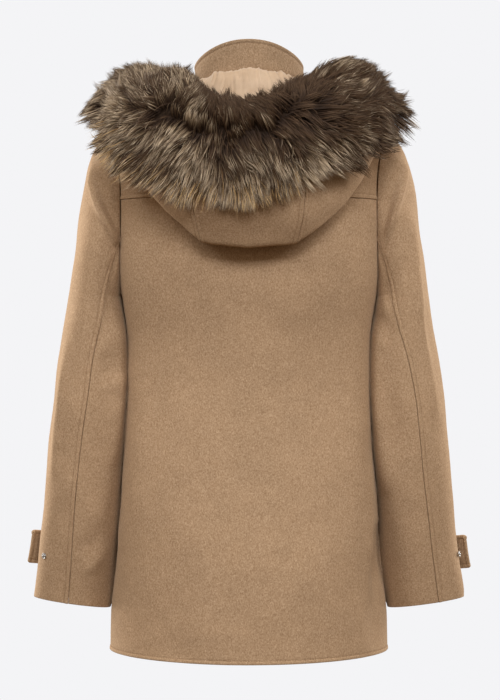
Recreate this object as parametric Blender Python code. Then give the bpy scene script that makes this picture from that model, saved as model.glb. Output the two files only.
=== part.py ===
"""Hooded wool parka, filled out as worn, with a fur-trimmed hood lying down the back.

Metres, +Z up. The wearer faces +Y, so the back of the coat faces -Y and the wearer's right is +X.
The origin is where the coat hangs on the wearer: between the two neck points, in the shoulder line.
Every cloth piece is a wall: a grid of points on its outer face, moved in along the normals.
"""

import math
from collections import namedtuple

import bpy
import numpy as np

# ---------------------------------------------------------------- cloth and gaps
WOOL = 0.0025  # melton wall
LINING = 0.0010  # satin wall
SEAM_GAP = 0.0003  # between neighbouring pieces
REST_GAP = 0.0005  # between a piece and what it lies on

# ---------------------------------------------------------------- body
# One row for each horizontal section. side_z, back_z and front_z are its heights at the side
# seam and the two centre lines; above the underarm the sections climb over the shoulder.
Section = namedtuple(
    "Section",
    "level half_width side_y back_y front_y side_z back_z front_z squareness",
)
BODY = [
    Section(-0.782, 0.1985, 0.030, -0.118, 0.140, -0.782, -0.786, -0.782, 2.00),
    Section(-0.712, 0.1960, 0.028, -0.117, 0.137, -0.712, -0.713, -0.712, 2.05),
    Section(-0.653, 0.1890, 0.024, -0.114, 0.132, -0.653, -0.653, -0.653, 2.20),
    Section(-0.568, 0.1815, 0.017, -0.107, 0.123, -0.568, -0.568, -0.568, 2.25),
    Section(-0.483, 0.1735, 0.010, -0.097, 0.113, -0.483, -0.483, -0.483, 2.35),
    Section(-0.400, 0.1690, 0.006, -0.092, 0.108, -0.400, -0.400, -0.400, 2.45),
    Section(-0.341, 0.1695, 0.004, -0.097, 0.112, -0.341, -0.341, -0.341, 2.60),
    Section(-0.258, 0.1820, 0.003, -0.112, 0.124, -0.258, -0.258, -0.258, 2.85),
    Section(-0.180, 0.1860, 0.001, -0.116, 0.119, -0.180, -0.180, -0.205, 3.00),
    Section(-0.118, 0.1870, 0.000, -0.110, 0.106, -0.118, -0.118, -0.160, 3.00),
    Section(-0.050, 0.1900, 0.000, -0.088, 0.086, -0.050, -0.066, -0.112, 2.60),
    Section(0.000, 0.0730, 0.000, -0.064, 0.066, -0.014, -0.004, -0.064, 2.10),
]
HEM, SHOULDER, NECK = BODY[0].level, BODY[-2].level, BODY[-1].level
CENTRE_DIP = 1.6  # power that shapes a section's climb from the side seam to a centre line

# Armhole, as an egg around the sleeve: widest at its middle level.
ARMHOLE_MIDDLE = -0.146
ARMHOLE_UP = SHOULDER - ARMHOLE_MIDDLE
ARMHOLE_DOWN = 0.112
ARMHOLE_REACH = 21.0  # degrees that it cuts into back and front
ARMHOLE_STEP = 15  # degrees between its points
YOKE_TURN = 0  # degrees above the armhole's middle, where the yoke seam ends

BODY_ROWS = 8  # cloth rows from hem to underarm
SHOULDER_ROWS = 3
BACK_COLUMNS = 16
FRONT_COLUMNS = 9
LAP = 0.018  # width that each front runs past the centre line
LAP_REST, LAP_RAMP = 0.015, 0.030  # beyond the lower edge, the upper front lies flat, then sinks

# ---------------------------------------------------------------- collar
COLLAR = [
    Section(0.0, 0.0730, 0.000, -0.064, 0.066, -0.014, -0.004, -0.064, 2.10),
    Section(0.5, 0.0750, 0.004, -0.063, 0.073, 0.018, 0.038, -0.024, 2.10),
    Section(1.0, 0.0765, 0.010, -0.060, 0.080, 0.048, 0.078, 0.012, 2.10),
]
COLLAR_OPENING = 6.0  # degrees left open each side of the centre front
COLLAR_COLUMNS = 20
COLLAR_ROWS = 2

# ---------------------------------------------------------------- sleeves
# One row for each section below the cap, with the turn of the back seam from the rearmost
# point towards the outside, in degrees.
Cuff = namedtuple("Cuff", "z inner_x outer_x centre_y half_depth back_seam")
SLEEVE = [
    Cuff(-0.7160, 0.1990, 0.3085, 0.033, 0.036, 3.0),
    Cuff(-0.6530, 0.1920, 0.3005, 0.024, 0.041, 5.0),
    Cuff(-0.5680, 0.1845, 0.2905, 0.013, 0.047, 7.0),
    Cuff(-0.4830, 0.1765, 0.2825, 0.005, 0.053, 5.0),
    Cuff(-0.4260, 0.1725, 0.2765, 0.002, 0.057, 1.0),
    Cuff(-0.3410, 0.1720, 0.2650, 0.003, 0.062, -8.0),
    Cuff(-0.2750, 0.1815, 0.2540, 0.004, 0.066, -30.0),
]
BICEPS, WRIST = SLEEVE[-1].z, SLEEVE[0].z
SLEEVE_SLANT = 0.14  # rise of a section towards the outside
SEAM_AT_ARMHOLE = -30.0  # degrees, both seams' turn below the armhole's middle
FRONT_SEAM = 215.0  # degrees, on the lower sleeve
SLEEVE_ROWS = 7
CAP_ROWS = 5
CAP_OUT, CAP_UP = 0.20, 0.45  # reach of the cap's curve from the armhole and from the biceps
CAP_FULLNESS = 0.25  # how far the cap swells backwards and forwards
TOP_COLUMNS, UNDER_COLUMNS = 16, 8

# ---------------------------------------------------------------- cuff tabs and studs
TAB_Z = -0.648
TAB_WIDTH = 0.057
TAB_CORNER = 0.004
TAB_FREE = 0.038  # straight length that stands off the sleeve
TAB_COLUMNS = 6  # columns of the top sleeve that the tab lies on
STUD_Z = -0.6535
STUD_TURN = {"left": 54.0, "right": 66.0}
STUD_PROFILE = [  # radius, height above the cloth
    (0.0042, 0.0000),
    (0.0042, 0.0010),
    (0.0034, 0.0016),
    (0.0018, 0.0010),
    (0.0016, 0.0026),
]
STUD_SIDES = 16

# ---------------------------------------------------------------- hood
# One row for each section, in a plane through the neck's axis. turn is 0 at centre back and
# grows towards the front. Each section leaves the neck seam, rolls over at the collar, drops
# down the back, turns at the bottom of the bag and climbs its outer wall to the rim.
Fold = namedtuple(
    "Fold",
    "turn roll_z inner_r inner_z bottom_r bottom_z belly_r belly_z rim_r rim_z",
)
HOOD = [
    Fold(0, 0.036, 0.118, -0.070, 0.140, -0.213, 0.177, -0.150, 0.166, -0.069),
    Fold(24, 0.036, 0.124, -0.072, 0.152, -0.205, 0.186, -0.144, 0.166, -0.045),
    Fold(45, 0.030, 0.148, -0.088, 0.176, -0.172, 0.200, -0.112, 0.158, -0.004),
    Fold(62, 0.022, 0.150, -0.028, 0.196, -0.100, 0.204, -0.062, 0.160, 0.008),
    Fold(82, 0.012, 0.125, -0.008, 0.170, -0.024, 0.188, -0.010, 0.160, 0.012),
    Fold(104, 0.004, 0.115, -0.018, 0.152, -0.036, 0.168, -0.018, 0.148, 0.002),
    Fold(128, -0.010, 0.100, -0.036, 0.124, -0.056, 0.138, -0.042, 0.122, -0.024),
    Fold(150, -0.036, 0.088, -0.056, 0.100, -0.072, 0.112, -0.060, 0.104, -0.042),
]
HOOD_SEAM = 24  # degrees, between the centre panel and a side panel
HOOD_END = HOOD[-1].turn
HOOD_STEPS = 2  # cloth rows between two points of a section
HOOD_CENTRE_COLUMNS = 4
HOOD_SIDE_COLUMNS = 9
ROLL = 0.012  # width of the roll at the neck
FLOOR = 0.012  # half the width of the bag's floor at the most
HOOD_CLEARANCE = 0.0012  # between the hood's layers and the collar

# Reach of the fur, as a saddle over the rim. in is its tip over the lining, out its tip over
# the shell, and depth its thickness over the rim.
Pile = namedtuple("Pile", "turn in_r in_z crest_r crest_z out_r out_z depth")
FUR = [
    Pile(0, 0.112, -0.012, 0.188, -0.048, 0.202, -0.162, 0.052),
    Pile(24, 0.114, -0.002, 0.188, -0.022, 0.210, -0.148, 0.054),
    Pile(45, 0.110, 0.012, 0.182, 0.014, 0.226, -0.128, 0.056),
    Pile(62, 0.106, 0.022, 0.174, 0.028, 0.238, -0.088, 0.050),
    Pile(82, 0.102, 0.024, 0.168, 0.032, 0.245, -0.036, 0.044),
    Pile(104, 0.100, 0.014, 0.156, 0.022, 0.226, -0.038, 0.040),
    Pile(128, 0.096, -0.004, 0.132, -0.006, 0.188, -0.062, 0.034),
    Pile(150, 0.100, -0.032, 0.120, -0.038, 0.150, -0.088, 0.020),
]
FUR_TIP = 0.12  # thickness at a tip, as a share of the depth
FUR_STEPS = 4
FUR_GAP = 0.0008  # between the rim's edge and the saddle

SAMPLES = 160  # points on a section before it is divided into equal columns

# ---------------------------------------------------------------- materials
Finish = namedtuple("Finish", "color roughness metallic")
FINISHES = {
    "camel wool": Finish((0.38, 0.25, 0.155, 1.0), 0.92, 0.0),
    "apricot satin": Finish((0.68, 0.50, 0.35, 1.0), 0.55, 0.0),
    "brown fur": Finish((0.17, 0.115, 0.075, 1.0), 0.80, 0.0),
    "nickel": Finish((0.72, 0.71, 0.69, 1.0), 0.30, 1.0),
}

Face = namedtuple("Face", "points normals")


# ---------------------------------------------------------------- curves and tables
def unit(vectors):
    return vectors / np.linalg.norm(vectors, axis=-1, keepdims=True)


def smooth(knots, values, at):
    """Monotone cubic through a table's values, so the form never overshoots a section."""
    knots, values = np.asarray(knots, float), np.asarray(values, float)
    step = np.diff(knots)
    slope = np.diff(values) / step
    tangent = np.concatenate([slope[:1], (slope[:-1] + slope[1:]) / 2, slope[-1:]])
    rising = slope[:-1] * slope[1:] > 0
    limit = np.where(rising, 3 * np.minimum(abs(slope[:-1]), abs(slope[1:])), 0.0)
    tangent[1:-1] = np.clip(tangent[1:-1], -limit, limit)
    k = np.clip(np.searchsorted(knots, at, side="right") - 1, 0, len(step) - 1)
    t = (np.asarray(at, float) - knots[k]) / step[k]
    return (
        values[k] * (2 * t**3 - 3 * t**2 + 1)
        + tangent[k] * step[k] * (t**3 - 2 * t**2 + t)
        + values[k + 1] * (3 * t**2 - 2 * t**3)
        + tangent[k + 1] * step[k] * (t**3 - t**2)
    )


def read(table, at):
    """The table's row at a place between its rows, its first column being the place."""
    knots = [row[0] for row in table]
    order = np.argsort(knots)
    knots = np.take(knots, order)
    columns = [np.take([row[i] for row in table], order) for i in range(1, len(table[0]))]
    return type(table[0])(at, *(smooth(knots, column, at) for column in columns))


def catmull_rom(points, steps):
    """A smooth curve through the points, with the same steps between each two of them."""
    points = np.asarray(points, float)
    ends = [2 * points[0] - points[1], *points, 2 * points[-1] - points[-2]]
    curve = [
        a * (2 * t**2 - t**3 - t) / 2
        + b * (2 - 5 * t**2 + 3 * t**3) / 2
        + c * (t + 4 * t**2 - 3 * t**3) / 2
        + d * (t**3 - t**2) / 2
        for a, b, c, d in zip(ends, ends[1:], ends[2:], ends[3:])
        for t in np.linspace(0, 1, steps, endpoint=False)
    ]
    return np.array([*curve, points[-1]])


def grid_normals(points):
    """Normals of a grid whose columns run left to right and rows upwards, seen from outside."""
    across, up = np.gradient(points, axis=1), np.gradient(points, axis=0)
    return unit(np.cross(across, up))


# ---------------------------------------------------------------- sections of the body and collar
def ring_point(table, level, turn):
    """A point of a section. turn is 0 at centre back, 90 at the side seam, 180 at centre front."""
    row = read(table, level)
    sine, cosine = math.sin(math.radians(turn)), math.cos(math.radians(turn))
    power = 2 / row.squareness
    ahead_y, ahead_z = (row.back_y, row.back_z) if cosine > 0 else (row.front_y, row.front_z)
    return np.array(
        [
            row.half_width * math.copysign(abs(sine) ** power, sine),
            row.side_y + (ahead_y - row.side_y) * abs(cosine) ** power,
            row.side_z + (ahead_z - row.side_z) * abs(cosine) ** CENTRE_DIP,
        ]
    )


def ring_normal(table, level, turn):
    span = table[-1].level - table[0].level
    up = ring_point(table, level + span / 900, turn) - ring_point(table, level - span / 900, turn)
    across = ring_point(table, level, turn + 0.5) - ring_point(table, level, turn - 0.5)
    return unit(np.cross(across, up))


def even_turns(table, level, start, end, columns):
    """Turns that divide a section between start and end into columns of equal width."""
    turns = np.linspace(start, end, SAMPLES)
    curve = np.array([ring_point(table, level, turn) for turn in turns])
    length = np.concatenate([[0], np.cumsum(np.linalg.norm(np.diff(curve, axis=0), axis=1))])
    return np.interp(np.linspace(0, length[-1], columns + 1), length, turns)


def ring_face(table, levels, edges, columns):
    """A panel between two edges, which are turns that depend on the level."""
    points, normals = [], []
    for level in levels:
        turns = even_turns(table, level, *edges(level), columns)
        points.append([ring_point(table, level, turn) for turn in turns])
        normals.append([ring_normal(table, level, turn) for turn in turns])
    return Face(np.array(points), np.array(normals))


def armhole_level(turn):
    """Level of an armhole point. turn is -90 at the underarm and 90 at the shoulder."""
    rise = math.sin(math.radians(turn))
    return ARMHOLE_MIDDLE + (ARMHOLE_UP if rise > 0 else ARMHOLE_DOWN) * rise


def side_edge(level):
    """Turn of the back's edge: the side seam, the armhole, then the shoulder seam."""
    reach = ARMHOLE_UP if level > ARMHOLE_MIDDLE else ARMHOLE_DOWN
    inside = 1 - ((level - ARMHOLE_MIDDLE) / reach) ** 2
    return 90 - ARMHOLE_REACH * math.sqrt(max(inside, 0))


def lap_edge(level):
    """Turn of a front's free edge, a fixed width past the centre line."""
    row = read(BODY, level)
    return 180 + math.degrees(math.asin((LAP / row.half_width) ** (row.squareness / 2)))


ARMHOLE_LEVELS = [armhole_level(turn) for turn in range(-90, 91, ARMHOLE_STEP)]
YOKE = armhole_level(YOKE_TURN)
LOWER_LEVELS = list(np.linspace(HEM, ARMHOLE_LEVELS[0], BODY_ROWS + 1)[:-1])
UPPER_LEVELS = list(np.linspace(SHOULDER, NECK, SHOULDER_ROWS + 1)[1:])
LEVELS = LOWER_LEVELS + ARMHOLE_LEVELS + UPPER_LEVELS


# ---------------------------------------------------------------- solids
def trim(face, left=True, right=True, bottom=True, top=True):
    """Draws the chosen edges in by half a seam gap."""
    points = face.points.copy()
    for wanted, edge, inside in (
        (left, np.s_[:, 0], np.s_[:, 1]),
        (right, np.s_[:, -1], np.s_[:, -2]),
        (bottom, np.s_[0], np.s_[1]),
        (top, np.s_[-1], np.s_[-2]),
    ):
        if wanted:
            points[edge] += unit(points[inside] - points[edge]) * SEAM_GAP / 2
    return Face(points, face.normals)


def moved(face, distance):
    """The face moved out along its normals."""
    return Face(face.points + face.normals * np.asarray(distance)[..., None], face.normals)


def mirrored(face):
    """The same face on the wearer's other side."""
    flip = np.array([-1, 1, 1])
    return Face((face.points * flip)[:, ::-1], (face.normals * flip)[:, ::-1])


def part_of(face, columns):
    return Face(face.points[:, columns], face.normals[:, columns])


def material(name):
    found = bpy.data.materials.get(name)
    if found:
        return found
    made = bpy.data.materials.new(name)
    made.use_nodes = True
    shader = made.node_tree.nodes["Principled BSDF"]
    shader.inputs["Base Color"].default_value = FINISHES[name].color
    shader.inputs["Roughness"].default_value = FINISHES[name].roughness
    shader.inputs["Metallic"].default_value = FINISHES[name].metallic
    return made


def add_object(name, points, faces, finish, place=(0, 0, 0)):
    mesh = bpy.data.meshes.new(name)
    mesh.from_pydata([tuple(map(float, point)) for point in points], [], faces)
    mesh.materials.append(material(finish))
    mesh.shade_smooth()
    mesh.set_sharp_from_angle(angle=math.radians(40))
    made = bpy.data.objects.new(name, mesh)
    made.location = place
    bpy.context.collection.objects.link(made)
    return made


def wall(name, face, thickness, finish):
    """A cloth wall: the face, the same face moved in, and a strip round the edge."""
    rows, columns = face.points.shape[:2]
    inner = face.points - face.normals * thickness
    points = np.concatenate([face.points.reshape(-1, 3), inner.reshape(-1, 3)])
    back = rows * columns

    def at(row, column):
        return row * columns + column

    faces = []
    for row in range(rows - 1):
        for column in range(columns - 1):
            a, b = at(row, column), at(row, column + 1)
            c, d = at(row + 1, column + 1), at(row + 1, column)
            faces += [(a, b, c), (a, c, d)]
            faces += [(back + a, back + c, back + b), (back + a, back + d, back + c)]
    border = [at(0, column) for column in range(columns)]
    border += [at(row, columns - 1) for row in range(1, rows)]
    border += [at(rows - 1, column) for column in range(columns - 2, -1, -1)]
    border += [at(row, 0) for row in range(rows - 2, 0, -1)]
    for a, b in zip(border, border[1:] + border[:1]):
        if a < b:
            faces += [(b, a, back + b), (a, back + a, back + b)]
        else:
            faces += [(b, a, back + a), (b, back + a, back + b)]
    return add_object(name, points, faces, finish)


def swept(name, sections, finish):
    """A solid through closed sections, capped at both ends."""
    count, around = len(sections), len(sections[0])
    points = np.concatenate(sections)
    faces = [tuple(range(around)), tuple(range(count * around - 1, (count - 1) * around - 1, -1))]
    for section in range(count - 1):
        for corner in range(around):
            a = section * around + corner
            b = section * around + (corner + 1) % around
            faces.append((b, a, a + around, b + around))
    return add_object(name, points, faces, finish)


# ---------------------------------------------------------------- body panels
def back_edges(level):
    return -side_edge(level), side_edge(level)


def front_edges(level):
    return 180 - side_edge(level), lap_edge(level)


def make_back():
    face = ring_face(BODY, LEVELS[: LEVELS.index(YOKE) + 1], back_edges, BACK_COLUMNS)
    wall("back", trim(face, bottom=False), WOOL, "camel wool")


def make_yoke():
    face = ring_face(BODY, LEVELS[LEVELS.index(YOKE) :], back_edges, BACK_COLUMNS)
    wall("back_yoke", trim(face), WOOL, "camel wool")


def make_front(side):
    """A front with a hidden fastening. The wearer's right laps over the left."""
    face = ring_face(BODY, LEVELS, front_edges, FRONT_COLUMNS)
    if side == "right":
        beyond = face.points[:, :, 0] - LAP - LAP_REST
        face = moved(face, np.clip(1 - beyond / LAP_RAMP, 0, 1) * (WOOL + REST_GAP))
    else:
        face = mirrored(face)
    wall(f"front_{side}", trim(face, bottom=False), WOOL, "camel wool")


def make_collar():
    edge = 180 - COLLAR_OPENING
    levels = np.linspace(0, 1, COLLAR_ROWS + 1)
    face = ring_face(COLLAR, levels, lambda level: (-edge, edge), COLLAR_COLUMNS)
    face.points[:, :, 2] += REST_GAP
    wall("collar", face, WOOL, "camel wool")


# ---------------------------------------------------------------- sleeves
def sleeve_point(z, turn):
    """A point of a sleeve section. turn is 0 at the rear and 90 at the outside."""
    row = read(SLEEVE, z)
    half_width = (row.outer_x - row.inner_x) / 2
    out, back = math.sin(math.radians(turn)), math.cos(math.radians(turn))
    return np.array(
        [
            row.inner_x + half_width * (1 + out),
            row.centre_y - row.half_depth * back,
            z + SLEEVE_SLANT * half_width * out,
        ]
    )


def seam_turns(back_seam, front_seam):
    """Turns of all columns, round the top sleeve and on round the under sleeve."""
    top = np.linspace(back_seam, front_seam, TOP_COLUMNS + 1)
    under = np.linspace(front_seam, back_seam + 360, UNDER_COLUMNS + 1)
    return np.concatenate([top, under[1:]])


def armhole_point(turn):
    """A point just outside the armhole's edge. turn is 0 at the rear and 90 at the shoulder."""
    rise, back = math.sin(math.radians(turn)), math.cos(math.radians(turn))
    level = ARMHOLE_MIDDLE + (ARMHOLE_UP if rise > 0 else ARMHOLE_DOWN) * rise
    return ring_point(BODY, level, 90 - ARMHOLE_REACH * back) + (REST_GAP, 0, 0)


def cap_rows(biceps, turns):
    """Rows of the sleeve cap, as curves from the biceps up to the armhole."""
    start = np.array([armhole_point(turn) for turn in turns])
    reach = np.linalg.norm(biceps - start, axis=1, keepdims=True)
    rise, back = np.sin(np.radians(turns)), np.cos(np.radians(turns))
    share = (1 + rise) / 2
    out = unit(np.stack([share + 0.05, -CAP_FULLNESS * back, share - 1], axis=1))
    near_armhole = start + out * reach * CAP_OUT
    near_biceps = biceps + np.array([-SLEEVE_SLANT, 0, 1]) * reach * CAP_UP
    return [
        biceps * (1 - t) ** 3
        + near_biceps * 3 * t * (1 - t) ** 2
        + near_armhole * 3 * t**2 * (1 - t)
        + start * t**3
        for t in np.linspace(0, 1, CAP_ROWS + 1)[1:]
    ]


def sleeve_face():
    """The wearer's right sleeve, from the cuff up."""
    rows = []
    for z in np.linspace(WRIST, BICEPS, SLEEVE_ROWS + 1):
        turns = seam_turns(read(SLEEVE, z).back_seam, FRONT_SEAM)
        rows.append(np.array([sleeve_point(z, turn) for turn in turns]))
    rows += cap_rows(rows[-1], seam_turns(SEAM_AT_ARMHOLE, 180 - SEAM_AT_ARMHOLE))
    points = np.array(rows)
    wrapped = np.concatenate([points[:, -2:-1], points, points[:, 1:2]], axis=1)
    return Face(points, grid_normals(wrapped)[:, 1:-1])


def make_sleeve(side):
    whole = sleeve_face()
    top = part_of(whole, slice(0, TOP_COLUMNS + 1))
    under = part_of(whole, slice(TOP_COLUMNS, None))
    for name, face in (("top", top), ("under", under)):
        face = trim(face, bottom=False, top=False)
        wall(f"sleeve_{name}_{side}", face if side == "right" else mirrored(face), WOOL, "camel wool")


def make_tab(side):
    """A cuff strap sewn into the front seam, its free end standing off the outside."""
    slant = math.hypot(1, SLEEVE_SLANT)
    turns = seam_turns(read(SLEEVE, TAB_Z).back_seam, FRONT_SEAM)
    turns = turns[TOP_COLUMNS - TAB_COLUMNS : TOP_COLUMNS + 1]
    rows = []
    for edge in (-1, 1):
        z = TAB_Z + edge * TAB_WIDTH / 2
        on_sleeve = np.array([sleeve_point(z, turn) for turn in turns])
        leaving = unit(on_sleeve[0] - on_sleeve[1])
        steps = [TAB_FREE, TAB_FREE - 0.3 * TAB_CORNER, TAB_FREE - TAB_CORNER, TAB_FREE / 2]
        free = []
        for step in steps:
            left = max(TAB_CORNER - (TAB_FREE - step), 0)
            rounding = TAB_CORNER - math.sqrt(TAB_CORNER**2 - left**2)
            free.append(on_sleeve[0] + leaving * step - np.array([0, 0, edge * rounding * slant]))
        rows.append(np.concatenate([free, on_sleeve]))
    points = np.array(rows)
    face = moved(Face(points, grid_normals(points)), np.full(points.shape[:2], REST_GAP + WOOL))
    wall(f"cuff_tab_{side}", face if side == "right" else mirrored(face), WOOL, "camel wool")


def make_stud(side):
    """A press stud on the back of the sleeve, turned about the cloth's normal."""
    place = sleeve_point(STUD_Z, STUD_TURN[side])
    up = sleeve_point(STUD_Z + 0.002, STUD_TURN[side]) - place
    across = sleeve_point(STUD_Z, STUD_TURN[side] + 1) - place
    normal, across = unit(np.cross(across, up)), unit(across)
    if side == "left":
        place, normal, across = (v * np.array([-1, 1, 1]) for v in (place, normal, across))
    other = np.cross(normal, across)
    rings = []
    for radius, height in STUD_PROFILE:
        angles = np.linspace(0, 2 * math.pi, STUD_SIDES, endpoint=False)[:, None]
        circle = across * np.cos(angles) + other * np.sin(angles)
        rings.append(circle * radius + normal * height)
    swept(f"press_stud_{side}", [ring[::-1] for ring in rings], "nickel").location = (
        place + normal * REST_GAP
    )


# ---------------------------------------------------------------- hood
def fan_point(turn, radius, z):
    angle = math.radians(turn)
    return np.array([radius * math.sin(angle), -radius * math.cos(angle), z])


def hood_section(turn):
    """The hood's outer face from the neck seam to the rim, in the plane of a turn."""
    row = read(HOOD, abs(turn))
    seam = ring_point(COLLAR, 0, turn)
    layers = WOOL + SEAM_GAP + LINING + HOOD_CLEARANCE
    seam_r = math.hypot(seam[0], seam[1]) + layers
    floor = min(FLOOR, (row.belly_r - row.inner_r) / 4)
    collar_r = math.hypot(*ring_point(COLLAR, 0.5, turn)[:2]) + layers
    stations = [
        (seam_r, seam[2] + 0.004),
        (collar_r + ROLL / 5, row.roll_z - ROLL / 5),
        (collar_r + ROLL, row.roll_z - ROLL / 2),
        (row.inner_r, row.inner_z),
        (row.bottom_r - floor, row.bottom_z + floor / 2),
        (row.bottom_r, row.bottom_z),
        (row.bottom_r + floor, row.bottom_z + floor / 2),
        (row.belly_r, row.belly_z),
        (row.rim_r, row.rim_z),
    ]
    return np.array([fan_point(turn, r, z) for r, z in catmull_rom(stations, HOOD_STEPS)])


def hood_turns():
    side = np.linspace(HOOD_SEAM, HOOD_END, HOOD_SIDE_COLUMNS + 1)
    centre = np.linspace(-HOOD_SEAM, HOOD_SEAM, HOOD_CENTRE_COLUMNS + 1)
    return np.concatenate([-side[::-1], centre[1:-1], side])


def hood_face():
    points = np.stack([hood_section(turn) for turn in hood_turns()], axis=1)
    return Face(points, grid_normals(points))


def make_hood():
    whole = hood_face()
    first, last = HOOD_SIDE_COLUMNS, HOOD_SIDE_COLUMNS + HOOD_CENTRE_COLUMNS
    for name, columns in (
        ("hood_side_left", slice(0, first + 1)),
        ("hood_centre", slice(first, last + 1)),
        ("hood_side_right", slice(last, None)),
    ):
        wall(name, trim(part_of(whole, columns), bottom=False, top=False), WOOL, "camel wool")
    inside = moved(whole, np.full(whole.points.shape[:2], -WOOL - SEAM_GAP))
    wall("hood_lining", inside, LINING, "apricot satin")


def fur_section(turn, rim):
    """A saddle that sits on the rim's edge, thick over it and thin at both tips."""
    row = read(FUR, abs(turn))
    reach = [(row.in_r, row.in_z), (row.crest_r, row.crest_z), (row.out_r, row.out_z)]
    spine = catmull_rom(reach, FUR_STEPS)
    along = unit(np.gradient(spine, axis=0))
    out = np.stack([-along[:, 1], along[:, 0]], axis=1)
    share = np.sin(np.linspace(0, math.pi, len(spine)))
    half = row.depth / 2 * (FUR_TIP + (1 - FUR_TIP) * share)[:, None]
    under, over = spine - out * half, (spine + out * half)[::-1]
    room = np.interp(np.hypot(rim[:, 0], rim[:, 1]), under[:, 0], under[:, 1]) - rim[:, 2]
    outline = np.concatenate([under, over]) - (0, room.min() - FUR_GAP)
    return np.array([fan_point(turn, r, z) for r, z in outline])


def make_fur():
    shell = hood_face()
    edge, normal = shell.points[-1], shell.normals[-1]
    rims = np.stack([edge, edge - normal * (WOOL + SEAM_GAP + LINING)], axis=1)
    sections = [fur_section(turn, rim) for turn, rim in zip(hood_turns(), rims)]
    swept("fur_trim", sections, "brown fur")


# ---------------------------------------------------------------- the coat
def clear_scene():
    for old in list(bpy.data.objects):
        bpy.data.objects.remove(old)


clear_scene()
make_back()
make_yoke()
make_collar()
make_hood()
make_fur()
for coat_side in ("left", "right"):
    make_front(coat_side)
    make_sleeve(coat_side)
    make_tab(coat_side)
    make_stud(coat_side)
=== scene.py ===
"""Looks of the hooded wool parka: creased and stitched cloth, gathered lining and fur.

Metres, +Z up, in the part's own frame. The back of the coat faces -Y and +X is the wearer's
right. The tables of sections follow the part's, with the cloth's sag and the fur's lie added,
and are read at a finer step.
"""

import math
from collections import namedtuple

import bpy
import numpy as np
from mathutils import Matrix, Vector


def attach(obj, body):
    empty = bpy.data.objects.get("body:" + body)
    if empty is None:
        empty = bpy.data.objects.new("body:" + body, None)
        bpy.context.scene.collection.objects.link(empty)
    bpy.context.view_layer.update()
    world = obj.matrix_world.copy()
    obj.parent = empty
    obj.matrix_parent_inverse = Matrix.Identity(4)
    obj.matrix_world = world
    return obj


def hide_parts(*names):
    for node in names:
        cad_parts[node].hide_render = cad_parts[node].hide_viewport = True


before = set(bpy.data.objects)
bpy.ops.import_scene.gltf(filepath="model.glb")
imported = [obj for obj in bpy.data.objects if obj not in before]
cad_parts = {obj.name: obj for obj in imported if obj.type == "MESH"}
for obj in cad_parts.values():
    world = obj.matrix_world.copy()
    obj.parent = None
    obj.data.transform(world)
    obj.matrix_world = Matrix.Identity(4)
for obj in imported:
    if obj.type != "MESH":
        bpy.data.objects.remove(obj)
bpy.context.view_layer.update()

MM = 0.001

# ---- cloth
WOOL, LINING = 0.0025, 0.0010  # thickness
SEAM_GAP, REST_GAP = 0.0003, 0.0005  # between sewn pieces, and under a piece that rests
STEP, SLEEVE_STEP, FRONT_STEP = 0.0062, 0.0043, 0.0080  # between grid lines in a panel's middle
ROUND = 0.0012  # radius of a cloth edge
TOPSTITCH = 0.0060  # from a seam to its topstitching
HEM_STITCH, TAB_STITCH = 0.0055, 0.0054  # from a free edge to its topstitching
GROOVE_DEPTH, GROOVE_WIDTH = 0.00080, 0.0010
# The seam allowance lifts the cloth beside a topstitched seam.
ALLOWANCE, ALLOWANCE_RAMP = 0.00095, 0.0009
# Near an edge the relief fades to a share of its height.
CALM_REACH, CALM_SHARE = 0.012, 0.35
STITCH_LENGTH, STITCH_PITCH, STITCH_RADIUS, STITCH_SIDES = 0.0027, 0.0036, 0.00036, 4
# Rings of a stitch: place along it, radius and height, as shares of the sizes above.
STITCH_RINGS = [(-0.5, 0.3, -0.6), (-0.28, 1.0, 0.5), (0.28, 1.0, 0.5), (0.5, 0.3, -0.6)]
STITCH_JITTER = 0.0002
# Unevenness of felted cloth: height and size, from some centimetres down to millimetres.
NAP = [(0.0009, 0.110), (0.00035, 0.045), (0.00007, 0.012)]
NOISE_WAVES = 20
SAMPLES = 160  # places at which a curve is measured
# Distances of the grid lines beside an edge, then those round its stitching in groove widths.
EDGE_LINES = [SEAM_GAP / 2, 0.0004, 0.0008, 0.0013, 0.0020, 0.0030]
GROOVE_LINES = [-1.6, -0.8, 0, 0.8, 1.6]
PAST_GROOVE = 0.0040
LINE_CLEARANCE = 0.0012  # least distance of other grid lines from these

# ---- body, collar
Section = namedtuple(
    "Section", "level half_width side_y back_y front_y side_z back_z front_z squareness"
)
BODY = [
    Section(-0.782, 0.1985, 0.030, -0.118, 0.140, -0.782, -0.786, -0.782, 2.00),
    Section(-0.712, 0.1960, 0.028, -0.117, 0.137, -0.712, -0.713, -0.712, 2.05),
    Section(-0.653, 0.1890, 0.024, -0.114, 0.132, -0.653, -0.653, -0.653, 2.20),
    Section(-0.568, 0.1815, 0.017, -0.107, 0.123, -0.568, -0.568, -0.568, 2.25),
    Section(-0.483, 0.1735, 0.010, -0.097, 0.113, -0.483, -0.483, -0.483, 2.35),
    Section(-0.400, 0.1690, 0.006, -0.092, 0.108, -0.400, -0.400, -0.400, 2.45),
    Section(-0.341, 0.1695, 0.004, -0.097, 0.112, -0.341, -0.341, -0.341, 2.60),
    Section(-0.258, 0.1820, 0.003, -0.112, 0.124, -0.258, -0.258, -0.258, 2.85),
    Section(-0.180, 0.1860, 0.001, -0.116, 0.119, -0.180, -0.180, -0.205, 3.00),
    Section(-0.118, 0.1870, 0.000, -0.110, 0.106, -0.118, -0.118, -0.160, 3.00),
    Section(-0.050, 0.1900, 0.000, -0.088, 0.086, -0.050, -0.066, -0.112, 2.60),
    Section(0.000, 0.0730, 0.000, -0.064, 0.066, -0.014, -0.004, -0.064, 2.10),
]
HEM, SHOULDER, NECK = BODY[0].level, BODY[-2].level, BODY[-1].level
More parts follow.
